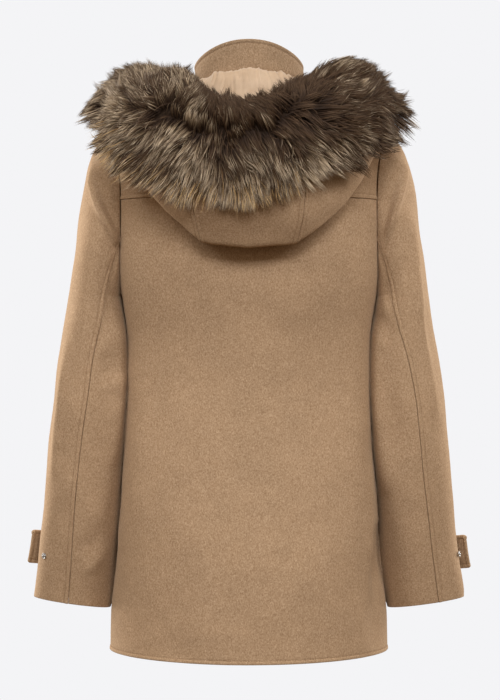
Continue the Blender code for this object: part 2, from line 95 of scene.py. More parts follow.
CENTRE_DIP = 1.6  # power that shapes a section's climb to a centre line
ARMHOLE_MIDDLE = -0.146
ARMHOLE_UP = SHOULDER - ARMHOLE_MIDDLE
ARMHOLE_DOWN = 0.112
ARMHOLE_REACH = 21.0  # degrees that it cuts into back and front
ARMHOLE_STEP = 3  # degrees between grid lines beside it
YOKE_LINES = 16  # grid lines from the shoulder to the neck
YOKE_TURN = 0  # degrees above the armhole's middle, where the yoke seam ends
LAP = 0.018  # width that each front runs past the centre line
LAP_REST, LAP_RAMP = 0.015, 0.030  # past the lap, where the upper front comes down to the lower
LEFT_CREASES_LOWER = 0.02
COLLAR = [
    Section(0.0, 0.0730, 0.000, -0.064, 0.066, -0.014, -0.004, -0.064, 2.10),
    Section(0.5, 0.0750, 0.004, -0.063, 0.073, 0.018, 0.038, -0.024, 2.10),
    Section(1.0, 0.0765, 0.010, -0.060, 0.080, 0.048, 0.078, 0.012, 2.10),
]
COLLAR_OPENING = 6.0  # degrees left open each side of the centre front
COLLAR_HEIGHT = 0.084

# ---- sleeves, tabs, studs
Cuff = namedtuple("Cuff", "z inner_x outer_x centre_y half_depth back_seam")
SLEEVE = [
    Cuff(-0.7160, 0.1990, 0.3085, 0.033, 0.036, 3.0),
    Cuff(-0.6530, 0.1920, 0.3005, 0.024, 0.041, 5.0),
    Cuff(-0.5680, 0.1845, 0.2905, 0.013, 0.047, 7.0),
    Cuff(-0.4830, 0.1765, 0.2825, 0.005, 0.053, 5.0),
    Cuff(-0.4260, 0.1725, 0.2765, 0.002, 0.057, 1.0),
    Cuff(-0.3410, 0.1720, 0.2650, 0.003, 0.062, -8.0),
    Cuff(-0.2750, 0.1815, 0.2540, 0.004, 0.066, -30.0),
]
BICEPS, WRIST = SLEEVE[-1].z, SLEEVE[0].z
SLEEVE_SLANT = 0.14  # rise of a section towards the outside
SEAM_AT_ARMHOLE = -30.0  # degrees, both seams' turn below the armhole's middle
# The right sleeve's back seam swings outwards, by degrees: round a level at the elbow, and from
# another level down to the cuff.
SEAM_SWING, SWING_Z, SWING_REACH = 9.0, -0.425, 0.080
CUFF_SWING, CUFF_SWING_Z = 14.0, -0.460
FRONT_SEAM = 215.0  # degrees, on the lower sleeve
# Creases of the rear and the front: their share at the side, and its growth beyond.
SIDE_SHARE, SIDE_GROWTH = 0.15, 1.4
CAP_ROWS = 38
CAP_OUT, CAP_UP = 0.20, 0.45  # handles of the cap's curve at the armhole and at the biceps
CAP_FULLNESS, CAP_LEAN = 0.25, 0.05  # how far it swells forwards and back, and outwards
SLEEVE_WIDENING = 1.1  # from the cuff to the biceps
TAB_Z = {"left": -0.6460, "right": -0.6535}
TAB_WIDTH = 0.0485
TAB_CORNER = 0.004  # radius
TAB_START = 10 / 16  # where the tab leaves the sleeve, as a share of the top panel's turn
TAB_FREE = 0.038  # straight length that stands off the sleeve
TAB_LEAN = 0.0032  # by which the free end is shorter at its top
STUD_Z = -0.6535
STUD_TURN = {"left": 54.0, "right": 77.0}
STUD_SIDES = 40
# Radius and height of each ring of the stud: its rolled rim, its dimple and its raised middle.
STUD = [(0.0038, 0.0000), (0.0042, 0.0002), (0.0043, 0.0007), (0.0042, 0.0011)]
STUD += [(0.0038, 0.0014), (0.0034, 0.0013), (0.0031, 0.0010), (0.0022, 0.0009)]
STUD += [(0.0018, 0.0012), (0.0017, 0.0022), (0.0014, 0.0026), (0.0008, 0.0027)]

# ---- hood
Fold = namedtuple(
    "Fold", "turn roll_z inner_r inner_z bottom_r bottom_z belly_r belly_z rim_r rim_z"
)
HOOD = [
    Fold(0, 0.0245, 0.118, -0.070, 0.140, -0.2155, 0.177, -0.150, 0.166, -0.069),
    Fold(24, 0.0205, 0.124, -0.072, 0.152, -0.205, 0.186, -0.144, 0.166, -0.045),
    Fold(45, 0.015, 0.146, -0.088, 0.171, -0.162, 0.192, -0.107, 0.158, -0.004),
    Fold(62, 0.014, 0.150, -0.028, 0.186, -0.092, 0.195, -0.060, 0.160, 0.008),
    Fold(82, 0.012, 0.125, -0.008, 0.170, -0.024, 0.188, -0.010, 0.160, 0.012),
    Fold(104, 0.004, 0.115, -0.018, 0.152, -0.036, 0.168, -0.018, 0.148, 0.002),
    Fold(128, -0.010, 0.100, -0.036, 0.124, -0.056, 0.138, -0.042, 0.122, -0.024),
    Fold(150, -0.036, 0.088, -0.056, 0.100, -0.072, 0.112, -0.060, 0.104, -0.042),
]
HOOD_SEAM = 24
HOOD_END = HOOD[-1].turn
HOOD_STEPS = 8  # cloth rows between two points of a section
HOOD_RADIUS = 0.170  # of the hood where its seams show
ROLL = 0.012  # width of the roll at the neck
FLOOR = 0.012  # half the width of the bag's floor at the most
INNER_RISE = 0.3  # how far up its inner wall the bag's lower edge has turned upright
HOOD_CLEARANCE = 0.0012  # between the hood's layers and the collar
HOOD_SEAT = 0.004  # height of its edge over the collar's seam
HOOD_STITCHED = 0.26  # from the collar to where the seams' stitches start, on the outer wall
# The panel seams make a soft corner in the bag's lower edge.
HOOD_CORNER, HOOD_CORNER_REACH = 0.0040, 10
# The bag is drawn up a little on the wearer's left.
HOOD_LIFT, HOOD_LIFT_TURN, HOOD_LIFT_REACH = 0.012, -50, 20
LINING_EASE = 0.0008  # between the lining and the shell
LINING_FINE = 56  # turn up to which the lining's grid is fine
# Gathers of the lining: their number in a whole turn, height and phase, up to a turn of GATHERED.
GATHERS = [(47, 0.0024, 0.4), (29, 0.0016, 1.9), (83, 0.0020, 0.9), (127, 0.0012, 0.2)]
GATHERED, GATHERED_FADE = 76, 20
GATHER_REACH = 0.035  # of the gathers on both sides of the roll over the collar
DRIFT, DRIFT_SIZE = 1.5, 0.050  # by which the gathers wander, in radians
UNEVEN, UNEVEN_SIZE = 0.35, 0.030  # of their height

# ---- fur
# The saddle that the fur fills: in is its tip over the lining, out its tip over the shell.
Pile = namedtuple("Pile", "turn in_r in_z crest_r crest_z out_r out_z depth part")
FUR = [
    Pile(0, 0.116, -0.032, 0.188, -0.054, 0.202, -0.168, 0.052, 1.12),
    Pile(24, 0.108, -0.004, 0.188, -0.028, 0.210, -0.154, 0.054, 1.10),
    Pile(45, 0.098, 0.022, 0.182, 0.011, 0.226, -0.131, 0.056, 1.00),
    Pile(62, 0.096, 0.026, 0.174, 0.024, 0.236, -0.089, 0.040, 0.90),
    Pile(82, 0.102, 0.018, 0.168, 0.022, 0.236, -0.042, 0.034, 0.80),
    Pile(104, 0.100, 0.008, 0.156, 0.014, 0.222, -0.043, 0.034, 0.80),
    Pile(128, 0.096, -0.007, 0.132, -0.009, 0.188, -0.065, 0.034, 0.90),
    Pile(150, 0.100, -0.037, 0.120, -0.043, 0.150, -0.093, 0.020, 1.00),
]
# The trim lies unevenly: places where its inner tip, crest and outer tip sit higher, lower or
# further out, in millimetres.
Shift = namedtuple("Shift", "turn reach in_z crest_z out_z out_r")
SHIFTS = [
    Shift(-84, 16, 0, 4, 10, 6),
    Shift(-59, 12, -10, -12, 0, 0),
    Shift(-46, 9, -14, -16, 0, 0),
    Shift(-32, 9, 10, 0, 0, 0),
    Shift(-27, 9, 0, 0, -10, 0),
    Shift(-22, 14, -8, -4, 0, 0),
    Shift(-12, 7, -7, 0, 0, 0),
    Shift(-5, 35, 0, 0, 0, -14),
    Shift(25, 8, 10, 0, 0, 0),
    Shift(28, 17, 0, 3, 11, 0),
    Shift(40, 9, -8, -8, 0, 0),
    Shift(64, 13, -3, -4, -30, 0),
    Shift(80, 12, 0, 0, -8, 0),
    Shift(88, 15, 0, 3, 4, 8),
]
FUR_TIP = 0.12  # thickness at a tip, as a share of the depth
FUR_CORE = 0.20  # thickness of the dark underfur, as a share of the saddle's
UNDERFUR = (0.45, 1.60)  # from near the inner tip to near the outer

# The hair is combed away from this parting, given across (X) and up (Z).
PARTING = [(-0.118, -0.034), (-0.094, -0.052), (-0.070, -0.062), (-0.025, -0.073)]
PARTING += [(0.002, -0.074), (0.029, -0.060), (0.060, -0.030)]
TURN_OF_FRONT = (88.0, 112.0)  # turns between which the combing changes to straight outwards
HAIR_POINTS = 5
FUR_ENDS = (-0.10, 2.06)  # how far hairs reach past the saddle's tips
HAIR_TAPER = (0.8, 1.0, 0.95, 0.65, 0.0)
PARTING_BLUR = 0.009  # how far over the parting a tuft may choose its side
INNER_SHORT, INNER_TURN, INNER_REACH = 0.28, -8.0, 26.0  # shorter hair over the lining
# Hair gets shorter within SHORTER degrees of a turn a little past the front ends.
PAST_END, SHORTER = 8, 50
PARTED_LENGTH, PARTED_REACH = 0.62, 0.06  # share of its length beside the parting, and reach
ROOT_HEIGHTS, TIP_HEIGHTS = (-0.10, 0.35), (0.62, 0.96)  # in the saddle, from middle to top
SWAYS = [(0.30, 0.075, 71), (0.13, 0.028, 72)]  # of the combing: amount, size and seed
PATCHES, PATCH_SIZE = 0.22, 0.050  # in which the pelt is paler or darker
# How much the tone of a tuft and of a hair varies, and how much paler the upper hairs are than the
# lower ones: partly the pelt's darker underhair, partly painted shade under the upper hairs.
TUFT_VARIES, HAIR_VARIES, UNDERHAIR_AND_SHADE = 0.26, 0.19, 0.12
FACING_VARIES = 0.45  # of the ribbons' faces
HAIR_LENGTHS, HAIR_WIDTHS = (0.66, 1.02), (0.7, 1.3)  # as shares of the tuft's length and width
WAVE = 0.30  # of a hair, as a share of the tuft's spread
FLATNESS, WAVE_FLATNESS = 0.45, 0.60  # of the tuft and of the wave, upwards against sideways

# Places where the pelt is darker or paler, given across (X) and up (Z) in millimetres.
Spot = namedtuple("Spot", "x z radius tone")
SPOTS = [
    Spot(0, -46, 48, -0.80),
    Spot(58, -14, 42, -0.95),
    Spot(-60, -18, 46, -0.75),
    Spot(-150, -105, 44, -0.45),
    Spot(-150, 10, 40, -0.25),
    Spot(-105, -62, 12, 0.40),
    Spot(130, -30, 70, -0.55),
    Spot(180, -75, 50, -0.42),
    Spot(175, 4, 36, -0.42),
    Spot(75, -10, 20, -0.40),
    Spot(-125, -90, 30, -0.20),
    Spot(70, -120, 40, 0.75),
    Spot(-70, -120, 30, 0.16),
]

# length, width and spread of the hairs are in metres; roots is where they grow along the
# saddle, tone is 0 for dark and 1 for pale hair.
Pelt = namedtuple("Pelt", "low high count length roots hairs spread tip width tone stiffness")
ROOTS, LOW_ROOTS, OUTER = (0.50, 1.66), (0.50, 1.76), (1.50, 1.84)
LYING = (0.10, 0.50)
SHORT_PELT = Pelt(
    0, 62, 520, (0.028, 0.040), (0.30, 1.75), 4, 0.0080, 0.0050, 0.0011, 0.12, (0.0, 0.3)
)
FUR_PIECES = {
    "fur_left": [
        Pelt(-150, -62, 430, (0.044, 0.062), ROOTS, 28, 0.0046, 0.0020, 0.0009, 0.41, LYING),
        SHORT_PELT._replace(low=-150, high=-62, count=420),
    ],
    "fur_back_left": [
        Pelt(-62, 0, 600, (0.046, 0.066), LOW_ROOTS, 29, 0.0046, 0.0022, 0.0009, 0.50, LYING),
        SHORT_PELT._replace(low=-62, high=0),
    ],
    "fur_back_right": [
        Pelt(0, 62, 600, (0.046, 0.066), ROOTS, 29, 0.0046, 0.0020, 0.0009, 0.42, LYING),
        SHORT_PELT,
    ],
    "fur_right": [
        Pelt(62, 150, 430, (0.044, 0.062), ROOTS, 28, 0.0046, 0.0020, 0.0009, 0.26, LYING),
        SHORT_PELT._replace(low=62, high=150, count=420),
    ],
    "fur_guard_hairs": [
        Pelt(-60, 16, 300, (0.056, 0.076), OUTER, 2, 0.0050, 0.0080, 0.0006, 0.70, (0.2, 0.7)),
    ],
}

# ---- creases
# A crease is a soft ridge, or a trough where its height is negative, along a line of points
# given across (X) and up (Z). width is its half width. All are in millimetres.
Crease = namedtuple("Crease", "line width height")
CREASE_FADE = 0.6
BACK_CREASES = [
    Crease([(167, -500), (168, -600), (168, -780)], 6, 4),
    Crease([(180, -600), (182.5, -660), (184.5, -715)], 8, -8),
    Crease([(-72, -260), (-68, -400), (-78, -520)], 26, -2.2),
    Crease([(6, -250), (14, -420), (52, -560), (100, -700)], 34, 3),
    Crease([(90, -270), (98, -380), (128, -500)], 22, -2.2),
    Crease([(-28, -420), (-34, -600), (-30, -760)], 24, -1.8),
    Crease([(160, -200), (154, -340), (154, -500), (166, -660)], 20, 8),
    Crease([(-160, -200), (-154, -340), (-154, -500), (-168, -640)], 20, 8),
    Crease([(-100, -752), (-40, -744), (4, -748)], 8, 1),
    Crease([(176, -640), (170, -700), (172, -775)], 10, -4),
    Crease([(160, -690), (155, -740), (158, -785)], 9, 2.5),
]
FRONT_CREASES = [
    Crease([(80, -220), (74, -380), (84, -540)], 26, -2.2),
    Crease([(120, -260), (104, -420), (118, -600)], 32, 2.6),
    Crease([(60, -500), (64, -640), (58, -770)], 24, -2),
    Crease([(150, -400), (144, -520), (156, -680)], 20, -2),
]
RIGHT_SLEEVE_CREASES = [
    Crease([(222, -92), (213, -124), (205, -155), (194, -196)], 5, 11),
    Crease([(208, -100), (199, -124), (193, -150), (186, -180)], 6, -2.2),
    Crease([(176, -255), (192, -285), (204, -310)], 11, 3.5),
    Crease([(176, -300), (190, -318), (200, -345)], 10, -3),
    Crease([(232, -300), (240, -400), (246, -500)], 16, -1.5),
    Crease([(190, -420), (206, -470), (224, -500)], 18, -2.8),
    Crease([(196, -520), (222, -560), (262, -575)], 16, 1.8),
    Crease([(231, -160), (235, -245), (240.5, -318), (265, -450)], 5.5, 5.5),
    Crease([(188, -215), (182, -300), (178, -400), (194, -560)], 12, 12),
]
LEFT_SLEEVE_CREASES = [
    Crease([(-222, -92), (-219, -124), (-208, -158), (-182, -210)], 5, 11),
    Crease([(-208, -105), (-204, -130), (-194, -160), (-182, -185)], 6, -2.2),
    Crease([(-180, -320), (-196, -350), (-214, -362)], 12, 2.2),
    Crease([(-176, -385), (-192, -405), (-206, -400)], 10, 3),
    Crease([(-196, -480), (-214, -520), (-216, -580)], 18, -2.4),
    Crease([(-200, -628), (-212, -652), (-236, -672)], 8, 3),
    Crease([(-262, -360), (-254, -430), (-262, -500)], 16, 1.8),
    Crease([(-206, -600), (-222, -628), (-246, -640)], 10, -2.2),
    Crease([(-256, -340), (-262, -400), (-269, -460), (-276, -540)], 6, 5.5),
    Crease([(-188, -215), (-182, -300), (-179, -390), (-192, -520)], 12, 10),
]
FRONT_SLEEVE_CREASES = [
    Crease([(178, -260), (176, -420), (189, -570), (204, -750)], 7, 15),
    Crease([(186, -250), (206, -285), (232, -300)], 12, 2.8),
    Crease([(182, -300), (206, -330), (240, -338)], 12, -3),
    Crease([(184, -380), (214, -410), (256, -412)], 12, 3),
    Crease([(188, -430), (220, -455), (262, -452)], 11, -3.4),
    Crease([(192, -490), (222, -510), (256, -506)], 12, 2.4),
    Crease([(240, -560), (250, -620), (246, -690)], 16, -1.8),
]
HOOD_CREASES = [
    Crease([(-100, -120), (-60, -165), (0, -178), (62, -160)], 20, 2),
    Crease([(130, -80), (112, -130), (80, -170)], 12, -2.6),
    Crease([(-138, -80), (-120, -120), (-86, -160)], 14, -2),
    Crease([(30, -120), (36, -160), (30, -200)], 12, -1.2),
]
LINING_CREASES = [
    Crease([(-20, 27), (-16, 16), (-10, 8)], 3, -1.6),
    Crease([(4, 28), (3, 8)], 2.6, 1.2),
    Crease([(38, 24), (44, 19)], 2.6, 1.6),
    Crease([(47, 22), (62, 12)], 2.6, 1.6),
    Crease([(-44, 26), (-45, 18)], 2.6, 1.6),
    Crease([(-27, 28), (-21, 24)], 2.6, 1.4),
    Crease([(13, 8), (24, 4)], 2.6, 1.2),
    Crease([(23, 16), (20, 4)], 2.6, 1.2),
    Crease([(-14, 9), (-11, -8)], 2.6, 1.4),
    Crease([(-25, 2), (-20, -10)], 2.8, -1.4),
]

Face = namedtuple("Face", "points normals")
Tufts = namedtuple("Tufts", "path normal tone")
Stitching = namedtuple("Stitching", "edge inset start end", defaults=(0.004, 0.004))
rng = np.random.default_rng(7)


# ---- curves and tables
def unit(vectors):
    return vectors / np.linalg.norm(vectors, axis=-1, keepdims=True)


def bell(value, middle, reach):
    """1 at the middle, and falling smoothly on both sides of it."""
    return np.exp(-(((value - middle) / reach) ** 2))


def smooth(knots, values, at):
    """Monotone cubic through a table's values, so the form never overshoots a section."""
    knots, values = np.asarray(knots, float), np.asarray(values, float)
    step = np.diff(knots)
    slope = np.diff(values) / step
    tangent = np.concatenate([slope[:1], (slope[:-1] + slope[1:]) / 2, slope[-1:]])
    rising = slope[:-1] * slope[1:] > 0
    limit = np.where(rising, 3 * np.minimum(abs(slope[:-1]), abs(slope[1:])), 0.0)
    tangent[1:-1] = np.clip(tangent[1:-1], -limit, limit)
    k = np.clip(np.searchsorted(knots, at, side="right") - 1, 0, len(step) - 1)
    t = (np.asarray(at, float) - knots[k]) / step[k]
    return (
        values[k] * (2 * t**3 - 3 * t**2 + 1)
        + tangent[k] * step[k] * (t**3 - 2 * t**2 + t)
        + values[k + 1] * (3 * t**2 - 2 * t**3)
        + tangent[k + 1] * step[k] * (t**3 - t**2)
    )


def read(table, at):
    """The table's row at places between its rows, its first column being the place."""
    knots = [row[0] for row in table]
    order = np.argsort(knots)
    knots = np.take(knots, order)
    columns = [np.take([row[i] for row in table], order) for i in range(1, len(table[0]))]
    return type(table[0])(at, *(smooth(knots, column, at) for column in columns))


def spline(t, a, b, c, d):
    """A smooth curve from b to c, at the share t of the way."""
    before, after = a * (2 * t**2 - t**3 - t), d * (t**3 - t**2)
    return (before + b * (2 - 5 * t**2 + 3 * t**3) + c * (t + 4 * t**2 - 3 * t**3) + after) / 2


def catmull_rom(points, steps):
    """A smooth curve through the points, with the same steps between each two of them."""
    points = np.asarray(points, float)
    ends = [2 * points[0] - points[1], *points, 2 * points[-1] - points[-2]]
    shares = np.linspace(0, 1, steps, endpoint=False)
    four = list(zip(ends, ends[1:], ends[2:], ends[3:]))
    return np.array([*(spline(t, *near) for near in four for t in shares), points[-1]])


def grid_normals(points):
    """Normals of a grid whose columns run left to right and rows upwards, seen from outside."""
    across, up = np.gradient(points, axis=1), np.gradient(points, axis=0)
    return unit(np.cross(across, up))


def run_length(points, axis):
    """Length along a grid's lines, from their start."""
    steps = np.linalg.norm(np.diff(points, axis=axis), axis=-1)
    start = np.zeros_like(np.take(steps, [0], axis=axis))
    return np.concatenate([start, np.cumsum(steps, axis=axis)], axis=axis)


def edge_steps(inset):
    """Distances of the grid lines beside an edge, fine at the edge and at its stitching."""
    around = [inset + offset * GROOVE_WIDTH for offset in GROOVE_LINES]
    return [*EDGE_LINES, *around, inset + PAST_GROOVE]


def places(length, middle, beside):
    """Places along a length: the given distances at both ends, and even steps between them."""
    inner = np.linspace(beside[-1], length - beside[-1], middle + 1)[1:-1]
    return np.concatenate([beside, inner, length - np.array(beside)[::-1]])


def soft_noise(points, size, seed):
    """Smooth random values of about -1 to 1 that change over the given size."""
    own = np.random.default_rng(seed)
    ways = unit(own.normal(size=(NOISE_WAVES, 3)))
    waves = ways * own.uniform(0.6, 1.5, (NOISE_WAVES, 1)) * 2 * math.pi / size
    phases = own.uniform(0, 2 * math.pi, NOISE_WAVES)
    return np.sin(points @ waves.T + phases).sum(axis=-1) / math.sqrt(NOISE_WAVES)


# ---- the part's forms
def ring_points(table, level, turn):
    """Points of sections. turn is 0 at centre back, 90 at the side seam, 180 at centre front."""
    row = read(table, level)
    sine, cosine = np.sin(np.radians(turn)), np.cos(np.radians(turn))
    power = 2 / row.squareness
    behind = cosine > 0
    ahead_y = np.where(behind, row.back_y, row.front_y)
    ahead_z = np.where(behind, row.back_z, row.front_z)
    x = row.half_width * np.copysign(abs(sine) ** power, sine)
    y = row.side_y + (ahead_y - row.side_y) * abs(cosine) ** power
    z = row.side_z + (ahead_z - row.side_z) * abs(cosine) ** CENTRE_DIP
    return np.stack([x, y, z], axis=-1)


def ring_normals(table, level, turn):
    span = (table[-1].level - table[0].level) / 900
    up = ring_points(table, level + span, turn) - ring_points(table, level - span, turn)
    across = ring_points(table, level, turn + 0.5) - ring_points(table, level, turn - 0.5)
    return unit(np.cross(across, up))


def ring_face(table, levels, edges, inset=TOPSTITCH, step=STEP):
    """A panel between two edges, with fine grid lines beside each of them."""
    beside = edge_steps(inset)
    levels = np.array(levels)
    ends = np.array([edges(level) for level in levels])
    share = np.linspace(0, 1, SAMPLES)
    turns = ends[:, :1] + (ends[:, 1:] - ends[:, :1]) * share
    lengths = run_length(ring_points(table, levels[:, None], turns), 1)
    middle = int(round((lengths[:, -1].mean() - 2 * beside[-1]) / step))
    rows = zip(lengths, turns)
    chosen = [np.interp(places(length[-1], middle, beside), length, row) for length, row in rows]
    at = table, levels[:, None], np.array(chosen)
    return Face(ring_points(*at), ring_normals(*at))


def armhole_level(turn):
    rise = math.sin(math.radians(turn))
    return ARMHOLE_MIDDLE + (ARMHOLE_UP if rise > 0 else ARMHOLE_DOWN) * rise


def side_edge(level):
    """Turn of the back's edge: the side seam, the armhole, then the shoulder seam."""
    reach = ARMHOLE_UP if level > ARMHOLE_MIDDLE else ARMHOLE_DOWN
    inside = 1 - ((level - ARMHOLE_MIDDLE) / reach) ** 2
    return 90 - ARMHOLE_REACH * math.sqrt(max(inside, 0))


def lap_edge(level):
    """Turn of a front's free edge, a fixed width past the centre line."""
    row = read(BODY, level)
    return 180 + math.degrees(math.asin((LAP / row.half_width) ** (row.squareness / 2)))


def back_edges(level):
    return -side_edge(level), side_edge(level)


def front_edges(level):
    return 180 - side_edge(level), float(lap_edge(level))


def body_levels(low, high, step=STEP):
    """Levels between two heights, fine beside both and at even angles round the armhole."""
    armhole = [armhole_level(turn) for turn in range(-90, 91, ARMHOLE_STEP)]
    straight = list(np.arange(HEM, armhole[0] - step / 2, step))
    yoked = list(np.linspace(SHOULDER, NECK, YOKE_LINES)[1:])
    beside = edge_steps(TOPSTITCH)
    fine = [low + away for away in beside] + [high - away for away in beside]
    rough = [level for level in straight + armhole + yoked if low < level < high]
    clear = [level for level in rough if min(abs(level - f) for f in fine) > LINE_CLEARANCE]
    return sorted(set(fine + clear))


YOKE = armhole_level(YOKE_TURN)


def sleeve_points(z, turn):
    """Points of sleeve sections. turn is 0 at the rear and 90 at the outside."""
    row = read(SLEEVE, z)
    half_width = (row.outer_x - row.inner_x) / 2
    out, back = np.sin(np.radians(turn)), np.cos(np.radians(turn))
    x = row.inner_x + half_width * (1 + out)
    y = row.centre_y - row.half_depth * back
    return np.stack([x, y, z + SLEEVE_SLANT * half_width * out + 0 * y], axis=-1)


def armhole_points(turns):
    """Points just outside the armhole's edge. turn is 0 at the rear and 90 at the shoulder."""
    rise, back = np.sin(np.radians(turns)), np.cos(np.radians(turns))
    level = ARMHOLE_MIDDLE + np.where(rise > 0, ARMHOLE_UP, ARMHOLE_DOWN) * rise
    return ring_points(BODY, level, 90 - ARMHOLE_REACH * back) + (REST_GAP, 0, 0)


def cap_rows(biceps, turns):
    """Rows of the sleeve cap, as curves from the biceps up to the armhole."""
    start = armhole_points(turns)
    reach = np.linalg.norm(biceps - start, axis=1, keepdims=True)
    rise, back = np.sin(np.radians(turns)), np.cos(np.radians(turns))
    share = (1 + rise) / 2
    out = unit(np.stack([share + CAP_LEAN, -CAP_FULLNESS * back, share - 1], axis=1))
    near_armhole = start + out * reach * CAP_OUT
    near_biceps = biceps + np.array([-SLEEVE_SLANT, 0, 1]) * reach * CAP_UP
    seam = np.array(edge_steps(TOPSTITCH))[::-1] / reach.mean()
    steps = np.concatenate([np.linspace(0, 1 - seam[0], CAP_ROWS)[1:-1], 1 - seam])
    return [
        biceps * (1 - t) ** 3
        + near_biceps * 3 * t * (1 - t) ** 2
        + near_armhole * 3 * t**2 * (1 - t)
        + start * t**3
        for t in steps
    ]


def sleeve_face(part, swing):
    """The top or under panel of the wearer's right sleeve, from the cuff up."""
    cuff = [WRIST + step for step in edge_steps(HEM_STITCH)]
    levels = cuff + list(np.arange(cuff[-1] + SLEEVE_STEP, BICEPS, SLEEVE_STEP)) + [BICEPS]
    share = np.linspace(0, 1, SAMPLES)
    rows, chosen, middle = [], None, None
    for z in levels:
        back = float(read(SLEEVE, z).back_seam)
        back += swing * SEAM_SWING * bell(z, SWING_Z, SWING_REACH)
        back += swing * CUFF_SWING * max(0, (CUFF_SWING_Z - z) / (CUFF_SWING_Z - WRIST))
        start, end = (back, FRONT_SEAM) if part == "top" else (FRONT_SEAM, back + 360)
        turns = start + (end - start) * share
        length = run_length(sleeve_points(z, turns), 0)
        if middle is None:
            middle = int(length[-1] * SLEEVE_WIDENING / SLEEVE_STEP)
        at = places(length[-1], middle, edge_steps(TOPSTITCH))
        chosen = np.interp(at, length, share)
        rows.append(sleeve_points(z, start + (end - start) * chosen))
    low, high = SEAM_AT_ARMHOLE, 180 - SEAM_AT_ARMHOLE
    start, end = (low, high) if part == "top" else (high, low + 360)
    rows += cap_rows(rows[-1], start + (end - start) * chosen)
    points = np.array(rows)
    return Face(points, grid_normals(points))


def fan_point(turn, radius, z):
    angle = np.radians(turn)
    return np.stack([radius * np.sin(angle), -radius * np.cos(angle), z + 0 * radius], axis=-1)


def hood_section(turn):
    """The hood's outer face from the neck seam to the rim, in the plane of a turn."""
    row = read(HOOD, abs(turn))
    lift = HOOD_LIFT * bell(turn, HOOD_LIFT_TURN, HOOD_LIFT_REACH)
    lift -= HOOD_CORNER * max(0, 1 - abs(abs(turn) - HOOD_SEAM) / HOOD_CORNER_REACH)
    row = row._replace(bottom_z=row.bottom_z + lift, belly_z=row.belly_z + lift)
    seam = ring_points(COLLAR, 0.0, turn)
    layers = WOOL + SEAM_GAP + LINING + HOOD_CLEARANCE
    seam_r = math.hypot(seam[0], seam[1]) + layers
    floor = min(FLOOR, (row.belly_r - row.inner_r) / 4)
    collar_r = math.hypot(*ring_points(COLLAR, 0.5, turn)[:2]) + layers
    inner_r = row.bottom_r - floor
    rising_r = inner_r + (row.inner_r - inner_r) * INNER_RISE
    rising_z = row.bottom_z + (row.inner_z - row.bottom_z) * INNER_RISE
    stations = [
        (seam_r, seam[2] + HOOD_SEAT),
        (collar_r + ROLL / 5, row.roll_z - ROLL / 5),
        (collar_r + ROLL, row.roll_z - ROLL / 2),
        (row.inner_r, row.inner_z),
        (rising_r, rising_z),
        (inner_r, row.bottom_z + floor / 2),
        (row.bottom_r, row.bottom_z),
        (row.bottom_r + floor, row.bottom_z + floor / 2),
        (row.belly_r, row.belly_z),
        (row.rim_r, row.rim_z),
    ]
    curve = catmull_rom(stations, HOOD_STEPS)
    return fan_point(turn, curve[:, 0], curve[:, 1])


def hood_turns():
    """Turns of the hood's columns, fine beside the two seams."""
    fine = np.degrees(np.array(edge_steps(TOPSTITCH)) / HOOD_RADIUS)
    side = np.concatenate([HOOD_SEAM + fine, np.linspace(HOOD_SEAM + fine[-1], HOOD_END, 66)[1:]])
    middle = np.linspace(-HOOD_SEAM + fine[-1], HOOD_SEAM - fine[-1], 22)[1:-1]
    centre = np.concatenate([-HOOD_SEAM + fine, middle, HOOD_SEAM - fine[::-1]])
    return -side[::-1], centre, side


# ---- relief of the cloth
def nearest_on(line, points):
    """Vectors and distances to the points from a line, and how far along it, from 0 to 1."""
    runs = np.diff(line, axis=0)
    lengths = np.linalg.norm(runs, axis=1)
    nearest = np.full(points.shape[:-1], np.inf)
    offset, along = np.zeros(points.shape), np.zeros(nearest.shape)
    for start, run, length, before in zip(line, runs, lengths, np.cumsum([0, *lengths])):
        t = np.clip((points - start) @ run / length**2, 0, 1)
        away = points - start - t[..., None] * run
        distance = np.hypot(away[..., 0], away[..., 1])
        nearer = distance < nearest
        offset = np.where(nearer[..., None], away, offset)
        along = np.where(nearer, before + t * length, along)
        nearest = np.minimum(nearest, distance)
    return offset, nearest, np.clip(along / lengths.sum(), 0, 1)


def crease_relief(creases, across, up):
    """Height that the creases give to each point of a face."""
    place = np.stack([across, up], axis=-1)
    relief = np.zeros(across.shape)
    for crease in creases:
        _, distance, along = nearest_on(np.array(crease.line) * MM, place)
        fade = np.sin(along * math.pi) ** CREASE_FADE
        relief += crease.height * MM * fade * bell(distance, 0, crease.width * MM)
    return relief


def edge_distances(points):
    """Distance of each point from the four edges, along the cloth."""
    across, up = run_length(points, 1), run_length(points, 0)
    return {
        "left": across,
        "right": across[:, -1:] - across,
        "bottom": up,
        "top": up[-1:] - up,
    }


def rounding(distance):
    """How far the cloth's face falls back beside a rounded edge."""
    inside = np.clip(1 - distance / ROUND, 0, 1)
    return -ROUND * (1 - np.sqrt(1 - inside**2))


def stitch_relief(distance, inset):
    """The stitches' groove, and the seam allowance that lifts the cloth beside the seam."""
    groove = -GROOVE_DEPTH * bell(distance, inset, GROOVE_WIDTH)
    lifted = ALLOWANCE * (1 - 1 / (1 + np.exp(-(distance - inset) / ALLOWANCE_RAMP)))
    return groove + lifted


def nap_relief(points, seed):
    scales = enumerate(NAP, seed)
    return sum(height * soft_noise(points, size, own) for own, (height, size) in scales)


